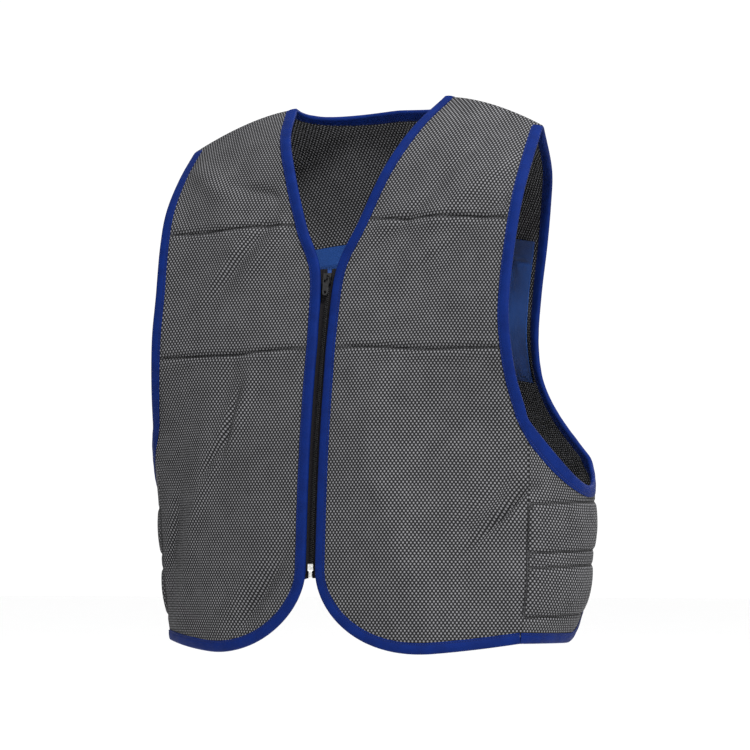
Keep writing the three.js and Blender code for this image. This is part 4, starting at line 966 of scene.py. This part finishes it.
def lower_pocket_shape():
    """Flat nylon patch with rounded corners: its half width follows an arc near both ends."""
    columns, rows = LOWER_POCKET_GRID
    run, share = pocket_grid(columns, rows)
    z = -LOWER_POCKET_TOP - LOWER_POCKET_HEIGHT * (1 - share)
    from_end = np.minimum(share, 1 - share) * LOWER_POCKET_HEIGHT
    cut = np.maximum(LOWER_POCKET_ROUND - from_end, 0)
    half = LOWER_POCKET_HALF - LOWER_POCKET_ROUND + np.sqrt(LOWER_POCKET_ROUND ** 2 - cut ** 2)
    x = run * half
    edge = np.minimum(from_end, half - np.abs(x))
    wave = 0.35 * np.sin(x / 15 + z / 22) + 0.25 * np.sin(z / 12 - x / 27)
    lift = HALF_MESH + POCKET_EASE + NYLON_THICK / 2 + smoothstep(edge, 3, 14) * (0.8 + wave)
    lift -= 0.25 * bell(edge - PATCH_SEAM, 1.2)
    points, _ = pocket_points(run, z, half, lift)
    return (points.reshape(rows, columns, 3), np.stack([x, z], -1).reshape(rows, columns, 2),
            np.stack([x, edge - PATCH_SEAM], -1).reshape(rows, columns, 2))


def zip_line():
    """Middle line of the zip: points up it, the distance run, and the directions up and out."""
    low, high = (CORNER_HEIGHT - ZIP_FOOT_DROP) / FRONT_HEIGHT, FRONT_UPS[ZIP_TOP_ROW]
    up = np.linspace(low, high, ZIP_STATIONS)
    points = front_base(np.zeros_like(up), up) * np.array([0.0, 1.0, 1.0])
    run = arc_lengths(points)
    along = unit(np.gradient(points, axis=0))
    out = np.stack([np.zeros_like(up), -along[:, 2], along[:, 1]], -1)
    return run, points, along, out


ZIP_RUN, ZIP_POINTS, ZIP_ALONG, ZIP_OUT = zip_line()
ZIP_LENGTH = ZIP_RUN[-1]
TAPE_FRONT = -(HALF_MESH + COVER + GAP)
CHAIN_BACK = TAPE_FRONT + GAP


def on_zip(run, x, depth):
    """Points beside the zip's middle line: at a run up it, x to the side and depth out of it."""
    base, out = (np.stack([np.interp(run, ZIP_RUN, v[:, k]) for k in range(3)], -1)
                 for v in (ZIP_POINTS, ZIP_OUT))
    return base + unit(out) * depth[..., None] + np.stack([x, 0 * x, 0 * x], -1)


def zip_tape_object(side, material):
    """Woven tape: a flat section along the zip line that splays at the top."""
    columns, rows = ZIP_TAPE_GRID
    run, share = np.meshgrid(np.linspace(0, ZIP_LENGTH, rows), np.linspace(0, 1, columns),
                             indexing="ij")
    splay = TAPE_SPLAY * np.maximum(1 - (ZIP_LENGTH - run) / SPLAY_LENGTH, 0)
    x = mix(GAP / 2 + splay, TAPE_WIDTH, share)
    wave = TAPE_WAVE[0] * np.sin(run / TAPE_WAVE[1] + side) * share
    middle = on_zip(run, side * x, TAPE_FRONT - TAPE_THICK / 2 + wave)
    normals = grid_normals(middle) * side
    obj = cloth_object(f"zip_tape_cloth_{SIDES[side]}", middle, normals, TAPE_THICK,
                       {"cloth": np.stack([x, run], -1)}, side < 0)
    finish_piece(obj, material, [f"zip_tape_{SIDES[side]}"])


def teeth_object(material, pitch):
    """Coil teeth: one rounded loop, an ellipse carried round a half ring, set at every pitch on
    each side, the two sides half a pitch apart."""
    low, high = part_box("zip_chain")
    first, last = np.interp([low.z, high.z], (ZIP_POINTS[:, 2] * MM), ZIP_RUN)
    count = int((last - first - CHAIN_THICK) / pitch)
    ring, around = TOOTH_GRID
    turns = np.arange(around) * 2 * math.pi / around
    t, a = np.meshgrid(np.linspace(0, 1, ring), turns, indexing="ij")
    thick = TOOTH_RADIUS * np.sqrt(np.clip(1 - (2 * t - 1) ** 6, 0.02, 1))
    across = mix(-CHAIN_WIDTH / 2, TOOTH_PAST, t)
    depth = CHAIN_BACK + TOOTH_RISE + 0.25 * np.sin(math.pi * t) + thick * np.sin(a)
    lean = 0.5 * (t - 0.5) + thick * 0.82 * np.cos(a)
    index = np.arange(count)
    runs, sides = [], []
    for side in (-1, 1):
        runs.append(first + CHAIN_THICK / 2 + (index + (0.25 if side > 0 else 0.75)) * pitch)
        sides.append(np.full(count, side))
    runs, sides = np.concatenate(runs)[:, None, None], np.concatenate(sides)[:, None, None]
    points = on_zip(runs + lean, -sides * across, depth + 0 * runs)
    one = grid_faces(ring, around, wrap=True)
    cap = np.array([[0, 1, 2, 3], [0, 3, 4, 5]])
    one = np.concatenate([one, cap[:, ::-1], cap + (ring - 1) * around])
    stride = ring * around
    faces = []
    for side in (-1, 1):
        offset = (np.arange(2 * count) * stride)[np.ravel(sides) == side][:, None, None]
        faces.append((one[None] + offset).reshape(-1, 4)[:, ::side])
    obj = make_object("zip_teeth", points.reshape(-1, 3), np.concatenate(faces))
    finish_piece(obj, material, ["zip_chain"])


class Nodes:
    """Short ways to add shader nodes to one material."""

    def __init__(self, name, color, roughness, metallic=0.0, shine=0.5):
        self.material = bpy.data.materials.new(name)
        self.material.use_nodes = True
        self.tree = self.material.node_tree
        self.shader = self.tree.nodes["Principled BSDF"]
        self.shader.inputs["Base Color"].default_value = (*color, 1)
        self.shader.inputs["Roughness"].default_value = roughness
        self.shader.inputs["Metallic"].default_value = metallic
        self.shader.inputs["Specular IOR Level"].default_value = shine

    def put(self, socket, value):
        if isinstance(value, bpy.types.NodeSocket):
            self.tree.links.new(value, socket)
        else:
            socket.default_value = value

    def math(self, operation, *values):
        node = self.tree.nodes.new("ShaderNodeMath")
        node.operation = operation
        for socket, value in zip(node.inputs, values):
            self.put(socket, value)
        return node.outputs[0]

    def vector(self, operation, *values):
        node = self.tree.nodes.new("ShaderNodeVectorMath")
        node.operation = operation
        for socket, value in zip(node.inputs, values):
            self.put(socket, value)
        return node.outputs["Value" if operation == "LENGTH" else "Vector"]

    def split(self, vector):
        node = self.tree.nodes.new("ShaderNodeSeparateXYZ")
        self.put(node.inputs[0], vector)
        return node.outputs

    def step(self, value, low, high, start=0.0, end=1.0):
        node = self.tree.nodes.new("ShaderNodeMapRange")
        node.interpolation_type = "SMOOTHSTEP"
        for socket, item in zip(node.inputs, (value, low, high, start, end)):
            self.put(socket, item)
        return node.outputs[0]

    def blend(self, share, a, b):
        node = self.tree.nodes.new("ShaderNodeMix")
        node.data_type = "RGBA"
        self.put(node.inputs[0], share)
        self.put(node.inputs[6], a)
        self.put(node.inputs[7], b)
        return node.outputs[2]

    def noise(self, vector, scale, detail=2.0):
        node = self.tree.nodes.new("ShaderNodeTexNoise")
        node.inputs["Scale"].default_value = scale
        node.inputs["Detail"].default_value = detail
        self.put(node.inputs["Vector"], vector)
        return node.outputs["Fac"]

    def uv(self, name):
        node = self.tree.nodes.new("ShaderNodeUVMap")
        node.uv_map = name
        return node.outputs[0]

    def place(self):
        return self.tree.nodes.new("ShaderNodeTexCoord").outputs["Object"]

    def stitches(self, along, off, pitch, share, inner, outer):
        """One on the threads of a stitch line, from the distance along it and away from it."""
        dash = self.math("LESS_THAN", self.math("FRACT", self.math("DIVIDE", along, pitch)), share)
        return self.math("MULTIPLY", self.step(off, inner, outer, 1.0, 0.0), dash)

    def ribs(self, value, pitch):
        """Sine wave of a distance."""
        return self.math("SINE", self.math("MULTIPLY", value, 2 * math.pi / pitch))

    def bump(self, height, distance, strength=1.0):
        node = self.tree.nodes.new("ShaderNodeBump")
        node.inputs["Distance"].default_value = distance
        node.inputs["Strength"].default_value = strength
        self.put(node.inputs["Height"], height)
        self.put(self.shader.inputs["Normal"], node.outputs[0])


def color4(color, scale=1.0, add=0.0):
    """Colour with its alpha, made stronger by scale and paler by add."""
    return (*(min(c * scale + add, 1.0) for c in color), 1.0)


def mesh_material(name, values, stitch):
    """Spacer mesh: dark net with round pale dots in two sets of rows, half a pitch apart. The
    distance to the nearer set's dot gives the colour and the relief, and the seam map gives
    the sunk stitch groove its painted shade and its stitches."""
    net = values.net
    n = Nodes(name, net, 0.85, shine=0.08)
    pitch_x, pitch_y = values.dot_pitch, 2 * values.dot_row
    wander = n.noise(n.place(), 46.0, 2.0)
    cells = n.vector("DIVIDE", n.uv("cloth"), (pitch_x, pitch_y, 1.0))

    def distance(shift):
        moved = n.vector("ADD", cells, (shift, shift, 0.0))
        part = n.vector("SUBTRACT", n.vector("FRACTION", moved), (0.5, 0.5, 0.5))
        return n.vector("LENGTH", n.vector("MULTIPLY", part, (pitch_x, pitch_y * 0.92, 0.0)))

    near = n.math("MINIMUM", distance(0.0), distance(0.5))
    radius = values.dot_size / 2
    edge = n.math("ADD", near, n.math("MULTIPLY", n.math("SUBTRACT", wander, 0.5), 0.0003))
    dot = n.step(edge, radius * 0.55, radius * 1.35, 1.0, 0.0)
    bright = n.math("MULTIPLY_ADD", n.noise(n.place(), 9.0, 3.0), 0.3, 0.85)
    pale = n.vector("SCALE", tuple(values.dots), (0, 0, 0), (0, 0, 0), bright)
    color = n.blend(dot, color4(net), pale)
    along, away, _ = n.split(n.uv("seam"))
    off = n.math("ABSOLUTE", away)
    # Painted shade: the net is darkened along the sunk stitch groove
    color = n.blend(n.step(off, 0.0007, 0.0026, 0.85, 0.0), color, color4(net, 0.35))
    thread = n.stitches(along, off, *MESH_STITCH)
    n.put(n.shader.inputs["Base Color"], n.blend(thread, color, color4(stitch)))
    height = n.math("MULTIPLY_ADD", dot, -0.8, n.math("MULTIPLY", thread, 0.8))
    fine = n.noise(n.place(), 900.0, 1.0)
    n.bump(n.math("MULTIPLY_ADD", fine, 0.15, height), 0.0006, 0.8)
    return n.material


def tape_material(name, color, shade):
    """Woven binding: fine ribs along the tape, a sunk stitch line near each free edge with painted
    shade in it, and random patches of painted shade, a darker copy of the tape's colour."""
    n = Nodes(name, color, 0.62, shine=0.04)
    along, over, _ = n.split(n.uv("tape"))
    # Painted shade: random patches take the darker shade copy of the tape's colour
    tone = n.step(n.noise(n.place(), 60.0, 3.0), 0.35, 0.7, 0.0, 0.55)
    far_side = n.math("ABSOLUTE", n.math("SUBTRACT", CUT_WIDTH * MM, over))
    side = n.math("MINIMUM", over, far_side)
    line = n.math("ABSOLUTE", n.math("SUBTRACT", side, TAPE_LINE))
    thread = n.stitches(along, line, *TAPE_STITCH)
    # Painted shade: the tape is darkened along its sunk stitch line; the same mask sinks it in the
    # bump
    groove = n.step(line, 0.0003, 0.0013, 0.6, 0.0)
    mixed = n.blend(tone, color4(color), color4(shade))
    mixed = n.blend(groove, mixed, color4(shade, 0.45))
    mixed = n.blend(thread, mixed, color4(color, 1.25, 0.004))
    n.put(n.shader.inputs["Base Color"], mixed)
    ribs = n.math("ADD", n.ribs(along, TAPE_RIBS[0]), n.ribs(over, TAPE_RIBS[1]))
    weave = n.math("MULTIPLY", ribs, 0.18)
    n.bump(n.math("ADD", weave, n.math("SUBTRACT", thread, groove)), 0.0004, 0.7)
    return n.material


def nylon_material(name, color, shade):
    """Nylon: smooth thin cloth with a soft sheen, a fine plain weave, random patches of painted
    shade and a stitched line with painted shade along it.
    """
    n = Nodes(name, color, 0.42, shine=0.18)
    cloth = n.split(n.uv("cloth"))
    along, away, _ = n.split(n.uv("seam"))
    shade_patch_noise = n.noise(n.place(), 22.0, 3.0)
    off = n.math("ABSOLUTE", away)
    thread = n.stitches(along, off, *NYLON_STITCH)
    # Painted shade: random patches take the darker shade copy of the nylon's colour
    mixed = n.blend(n.step(shade_patch_noise, 0.3, 0.7), color4(color), color4(shade))
    # Painted shade: the nylon is darkened along its stitched and gathered groove
    mixed = n.blend(n.step(off, 0.0004, 0.0018, 0.45, 0.0), mixed, color4(shade, 0.4))
    n.put(n.shader.inputs["Base Color"], n.blend(thread, mixed, color4(color, 1.2)))
    weave = n.math("MULTIPLY", n.ribs(cloth[0], NYLON_WEAVE), n.ribs(cloth[1], NYLON_WEAVE))
    n.bump(n.math("MULTIPLY_ADD", weave, 0.3, thread), 0.0002, 0.5)
    return n.material


def zip_cloth_material(color):
    """Zipper tape: a herringbone of fine slanted ribs, turned over every two millimetres."""
    n = Nodes("zip_tape_weave", color, 0.75, shine=0.06)
    cloth = n.split(n.uv("cloth"))
    turned_over = n.math("PINGPONG", cloth[0], ZIP_RIB_TURN)
    rib = n.ribs(n.math("ADD", cloth[1], turned_over), ZIP_RIBS)
    mixed = n.blend(n.step(rib, -1.0, 1.0), color4(color), color4(color, 2.2))
    n.put(n.shader.inputs["Base Color"], mixed)
    n.bump(rib, 0.0003, 0.6)
    return n.material


def metal_material(name, color, metallic, roughness, scale, shine=0.5):
    """Metal or enamel: fine scratches and dull patches in its roughness and relief."""
    n = Nodes(name, color, roughness, metallic, shine)
    dull = n.noise(n.place(), scale, 4.0)
    rough = n.step(dull, 0.25, 0.75, roughness * 0.75, roughness * 1.4)
    n.put(n.shader.inputs["Roughness"], rough)
    mixed = n.blend(n.step(dull, 0.45, 0.8), color4(color), color4(color, 1.8, 0.002))
    n.put(n.shader.inputs["Base Color"], mixed)
    n.bump(n.noise(n.place(), scale * 6, 2.0), 0.0001, 0.35)
    return n.material


def color_property(name, description, default):
    return FloatVectorProperty(name=name, description=description, subtype="COLOR", size=3,
                               min=0.0, max=1.0, default=default)


def length_property(name, description, default, low, high):
    return FloatProperty(name=name, description=description, unit="LENGTH", default=default,
                         min=low, max=high)


class VestCloth(bpy.types.PropertyGroup):
    """Sizes and colours of the spacer mesh and the nylon"""

    dot_pitch: length_property("Dot pitch", "Distance between two dots of a row", 0.0043,
                               0.001, 0.012)
    dot_row: length_property("Row pitch", "Distance between two rows of dots", 0.00295, 0.001, 0.012)
    dot_size: length_property("Dot size", "Diameter of a dot", 0.00215, 0.0002, 0.008)
    net: color_property("Net", "Colour of the mesh between the dots", (0.0040, 0.0040, 0.0044))
    dots: color_property("Dots", "Colour of the dots", (0.088, 0.088, 0.092))
    thread: color_property("Thread", "Colour of the stitches", (0.035, 0.035, 0.038))
    side_thread: color_property("Side thread", "Colour of the side stitches", (0.05, 0.05, 0.052))
    nylon: color_property("Nylon", "Colour of the pocket", (0.0060, 0.026, 0.105))
    # Painted shade: a darker copy of the nylon's colour
    nylon_shade: color_property("Nylon shade", "Darker tone of the pocket", (0.0038, 0.016, 0.068))


class VestBinding(bpy.types.PropertyGroup):
    """Colours of the binding tape"""

    tape: color_property("Tape", "Colour of the binding", (0.0003, 0.0060, 0.052))
    # Painted shade: a darker copy of the tape's colour
    shade: color_property("Shade", "Darker tone of the binding", (0.0002, 0.0038, 0.034))


class VestZip(bpy.types.PropertyGroup):
    """Sizes and colours of the zip"""

    tooth_pitch: length_property("Tooth pitch", "Distance between two teeth of a side", 0.0024,
                                 0.001, 0.006)
    black: color_property("Black", "Colour of the teeth, slider and pull", (0.0020, 0.0020, 0.0022))
    tape: color_property("Zip tape", "Colour of the zipper tape", (0.0026, 0.0023, 0.0027))
    silver: color_property("Silver", "Colour of the box and pin", (0.50, 0.50, 0.48))


class VestStudio(bpy.types.PropertyGroup):
    """Camera and light"""

    azimuth: FloatProperty(name="Azimuth", description="Camera's turn round the vest",
                           subtype="ANGLE", default=math.radians(30.0))
    elevation: FloatProperty(name="Elevation", description="Camera's angle above the level",
                             subtype="ANGLE", default=math.radians(-3.5))
    distance: FloatProperty(name="Distance", description="Camera's distance from its target",
                            unit="LENGTH", default=3.834, min=1.0)
    lens: FloatProperty(name="Lens", description="Camera's focal length", unit="CAMERA",
                        default=158.2, min=20.0)
    light: FloatProperty(name="Light", description="Strength of the whole studio light",
                         subtype="FACTOR", default=1.0, min=0.0, max=4.0)


def mesh_object(name, middle, cloth, seam, side):
    """Spacer mesh cloth from one side's grid; the right one is turned over the middle plane."""
    points = middle if side > 0 else mirror(middle)
    return cloth_object(name, points, grid_normals(points) * side, MESH_THICK,
                        {"cloth": cloth, "seam": seam}, side < 0)


class VEST_OT_fronts(bpy.types.Operator):
    """Build the two front panels"""

    bl_idname = "vest.fronts"
    bl_label = "Front panels"

    def execute(self, context):
        values = context.scene.vest_cloth
        material = mesh_material("front_mesh", values, values.thread)
        for side, name in SIDES.items():
            obj = mesh_object(f"front_cloth_{name}", *front_shape(side), side)
            finish_piece(obj, material, [f"front_panel_{name}"])
        return {"FINISHED"}


class VEST_OT_sides(bpy.types.Operator):
    """Build the two sides with their elastic bands"""

    bl_idname = "vest.sides"
    bl_label = "Side panels"

    def execute(self, context):
        values = context.scene.vest_cloth
        material = mesh_material("side_mesh", values, values.side_thread)
        for side, name in SIDES.items():
            obj = mesh_object(f"side_cloth_{name}", *side_shape(side), side)
            finish_piece(obj, material, [f"side_panel_{name}"])
        return {"FINISHED"}


class VEST_OT_back(bpy.types.Operator):
    """Build the back panel"""

    bl_idname = "vest.back"
    bl_label = "Back panel"

    def execute(self, context):
        values = context.scene.vest_cloth
        middle, cloth, seam = back_shape()
        obj = cloth_object("back_cloth", middle, -grid_normals(middle), MESH_THICK,
                           {"cloth": cloth, "seam": seam}, True)
        material = mesh_material("back_mesh", values, values.thread)
        finish_piece(obj, material, ["back_panel"])
        return {"FINISHED"}


def turned(strip):
    """The strip on the other side of the vest, run the other way."""
    return [mirror(values)[::-1] for values in strip]


def front_edge():
    """Shares along the front's free edge: down from the neck corner, round the lower corner by a
    quarter of an ellipse, and along the hem."""
    corner = np.linspace(0, math.pi / 2, CORNER_POINTS)
    corner_up = CORNER_HEIGHT * (1 - np.sin(corner)) / FRONT_HEIGHT
    corner_across = CORNER_WIDTH * (1 - np.cos(corner)) / front_width(corner_up)
    hem = np.linspace(corner_across[-1], 1, CORNER_POINTS)[1:]
    rise = np.linspace(1, CORNER_HEIGHT / FRONT_HEIGHT, RISE_POINTS)[:-1]
    return (np.concatenate([np.zeros(len(rise)), corner_across, hem]),
            np.concatenate([rise, corner_up, np.zeros(len(hem))]))


def hem_direction():
    """Mean direction of the hem on the two sides of the seam."""
    points = np.concatenate([front_base(np.array([0.98, 1.0]), np.zeros(2)),
                             side_base(np.array([0.02]), np.zeros(1))])
    return unit(unit(points[1] - points[0]) + unit(points[2] - points[1]))


class VEST_OT_bindings(bpy.types.Operator):
    """Build the binding of every edge"""

    bl_idname = "vest.bindings"
    bl_label = "Bindings"

    def execute(self, context):
        colors = context.scene.vest_binding
        material = tape_material("binding_tape", colors.tape, colors.shade)
        path_across, path_up = front_edge()
        meeting = hem_direction()
        run, half = np.linspace(0, 1, SIDE_POINTS), np.linspace(1, 0, SIDE_POINTS)
        arm_up = np.linspace(FRONT_JOIN, 1, ARM_POINTS)
        back_up = np.linspace(1, BACK_JOIN, ARM_POINTS)
        for side, name in SIDES.items():
            front = edge_strip(FRONTS[side], path_across, path_up, 1, 1, ends=(None, meeting))
            front = joined_strips([front], False, 2)
            arm = [edge_strip(FRONTS[side], np.ones_like(arm_up), arm_up, 1, 1),
                   edge_strip(BACKS[side], np.ones_like(back_up), back_up, -1, 1),
                   edge_strip(side_base, run[::-1], np.ones_like(run), 1, 1)]
            arm = joined_strips([(p[:-1], q[:-1]) for p, q in arm], True)
            if side < 0:
                front, arm = ([mirror(v) for v in pair] for pair in (front, arm))
            binding_object(f"front_tape_{name}", front, False, material,
                           [f"front_binding_{name}"], side)
            binding_object(f"armhole_tape_{name}", arm, True, material,
                           [f"armhole_binding_{name}"], 3 + side)
        side_hem = edge_strip(side_base, run, 0 * run, 1, 1, ends=(meeting, None))
        left, right = (edge_strip(BACKS[side], half, 0 * half, -1, 1) for side in SIDES)
        hem = [side_hem, left, [v[1:] for v in turned(right)], turned(side_hem)]
        binding_object("hem_tape", joined_strips(hem, False), False, material, ["hem_binding"], 5)
        turn = np.linspace(0, math.pi / 2, NECK_POINTS)
        x, up = NECK_HALF * np.cos(turn), 1 - NECK_SCOOP * np.sin(turn)
        across = x / back_base(np.ones_like(up), up)[:, 0]
        left, right = (edge_strip(BACKS[side], across, up, -1, -1) for side in SIDES)
        neck = joined_strips([left, [v[1:] for v in turned(right)]], False)
        binding_object("neck_tape", neck, False, material, ["neck_binding"], 7)
        return {"FINISHED"}


class VEST_OT_pockets(bpy.types.Operator):
    """Build the two nylon pockets inside the back"""

    bl_idname = "vest.pockets"
    bl_label = "Inner pockets"

    def execute(self, context):
        values = context.scene.vest_cloth
        material = nylon_material("pocket_nylon", values.nylon, values.nylon_shade)
        pieces = (("upper", upper_pocket_shape, (0.40, 0.175), "gathered", 0.064),
                  ("lower", lower_pocket_shape, (0.315, 0.155), "stretched", 0.045))
        for name, shape, flat, held, area in pieces:
            middle, cloth, seam = shape()
            obj = cloth_object(f"pocket_{name}", middle, grid_normals(middle), NYLON_THICK,
                               {"cloth": cloth, "seam": seam})
            finish_piece(obj, material, [f"inner_pocket_{name}"])
        return {"FINISHED"}


class VEST_OT_zip(bpy.types.Operator):
    """Build the zipper tapes and teeth, and finish the slider, the pull and the box"""

    bl_idname = "vest.zip"
    bl_label = "Zip"

    def execute(self, context):
        values = context.scene.vest_zip
        weave = zip_cloth_material(values.tape)
        for side in SIDES:
            zip_tape_object(side, weave)
        black = metal_material("zip_enamel", values.black, 0.0, 0.30, 300.0, 0.35)
        silver = metal_material("zip_silver_metal", values.silver, 1.0, 0.34, 260.0)
        coil = metal_material("zip_coil", values.black, 0.0, 0.42, 420.0, 0.15)
        teeth_object(coil, values.tooth_pitch / MM)
        for node, width in ROUNDED.items():
            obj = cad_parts[node]
            obj.data.materials.clear()
            obj.data.materials.append(silver if node == "zip_box" else black)
            weld = obj.modifiers.new("weld", "WELD")
            weld.merge_threshold = WELD
            bevel = obj.modifiers.new("rounded_edges", "BEVEL")
            bevel.width, bevel.segments = width, ROUND_STEPS
            bevel.limit_method = "ANGLE"
            bevel.angle_limit = math.radians(ROUND_ANGLE)
            bevel.harden_normals = False
        return {"FINISHED"}


def add_floor(scene):
    """Wide pale floor under the vest."""
    half, level = FLOOR_HALF, FLOOR_LEVEL
    floor = bpy.data.meshes.new("floor")
    floor.from_pydata([(-half, -half, level), (half, -half, level), (half, half, level),
                       (-half, half, level)], [], [(0, 1, 2, 3)])
    obj = bpy.data.objects.new("floor", floor)
    scene.collection.objects.link(obj)
    pale = Nodes("floor_pale", (0.93, 0.93, 0.93), 0.9)
    speck = pale.noise(pale.place(), 3.0, 2.0)
    pale.put(pale.shader.inputs["Base Color"],
             pale.blend(speck, (0.92, 0.92, 0.92, 1), (0.94, 0.94, 0.94, 1)))
    floor.materials.append(pale.material)


def add_light(scene, strength):
    """Even white around the vest, and the lamps, which face its middle."""
    world = bpy.data.worlds.new("studio")
    world.use_nodes = True
    background = world.node_tree.nodes["Background"]
    background.inputs["Color"].default_value = (1.0, 1.0, 1.0, 1)
    background.inputs["Strength"].default_value = SKY * strength
    scene.world = world
    for name, (spot, power, size) in LAMPS.items():
        lamp = bpy.data.lights.new(name, "AREA")
        lamp.energy, lamp.size = power * strength, size
        light = bpy.data.objects.new(name, lamp)
        light.location = spot
        light.rotation_mode = "QUATERNION"
        light.rotation_quaternion = (Vector(LIT_POINT) - Vector(spot)).to_track_quat("-Z", "Y")
        scene.collection.objects.link(light)


class VEST_OT_studio(bpy.types.Operator):
    """Build the floor, the lights and the camera"""

    bl_idname = "vest.studio"
    bl_label = "Studio"

    def execute(self, context):
        scene = context.scene
        values = scene.vest_studio
        add_floor(scene)
        add_light(scene, values.light)
        scene.view_settings.view_transform = "Standard"
        a, e = values.azimuth, values.elevation
        back = Vector((math.sin(a) * math.cos(e), -math.cos(a) * math.cos(e), math.sin(e)))
        right = Vector((math.cos(a), math.sin(a), 0))
        data = bpy.data.cameras.new("camera")
        data.lens, data.sensor_width = values.lens, SENSOR
        data.clip_start, data.clip_end = 0.1, 200.0
        camera = bpy.data.objects.new("camera", data)
        camera.location = Vector((0, 0, AIM_LEVEL)) + right * AIM_SHIFT + back * values.distance
        camera.rotation_mode = "QUATERNION"
        camera.rotation_quaternion = (-back).to_track_quat("-Z", "Y")
        scene.collection.objects.link(camera)
        scene.camera = camera
        return {"FINISHED"}


STEPS = (VEST_OT_studio, VEST_OT_fronts, VEST_OT_sides, VEST_OT_back, VEST_OT_bindings,
         VEST_OT_pockets, VEST_OT_zip)


class VEST_PT_panel(bpy.types.Panel):
    """Lists the building steps"""

    bl_idname = "VEST_PT_panel"
    bl_label = "Cooling vest"
    bl_space_type = "VIEW_3D"
    bl_region_type = "UI"
    bl_category = "Vest"

    def draw(self, context):
        for step in STEPS:
            self.layout.operator(step.bl_idname)
        for group in ("vest_cloth", "vest_binding", "vest_zip", "vest_studio"):
            values = getattr(context.scene, group)
            box = self.layout.box()
            for key in values.bl_rna.properties.keys():
                if key not in ("rna_type", "name"):
                    box.prop(values, key)


GROUPS = {"vest_cloth": VestCloth, "vest_binding": VestBinding, "vest_zip": VestZip,
          "vest_studio": VestStudio}
CLASSES = (*GROUPS.values(), *STEPS, VEST_PT_panel)


def register():
    """Adds the classes, and each group of values to the scene."""
    for item in CLASSES:
        bpy.utils.register_class(item)
    for key, group in GROUPS.items():
        setattr(bpy.types.Scene, key, PointerProperty(type=group))


def unregister():
    """Takes the groups and the classes away again."""
    for key in GROUPS:
        delattr(bpy.types.Scene, key)
    for item in reversed(CLASSES):
        bpy.utils.unregister_class(item)


def main():
    """Builds the vest step by step."""
    register()
    bpy.ops.vest.studio()
    bpy.ops.vest.fronts()
    bpy.ops.vest.sides()
    bpy.ops.vest.back()
    bpy.ops.vest.bindings()
    bpy.ops.vest.pockets()
    bpy.ops.vest.zip()


if __name__ == "__main__":
    main()
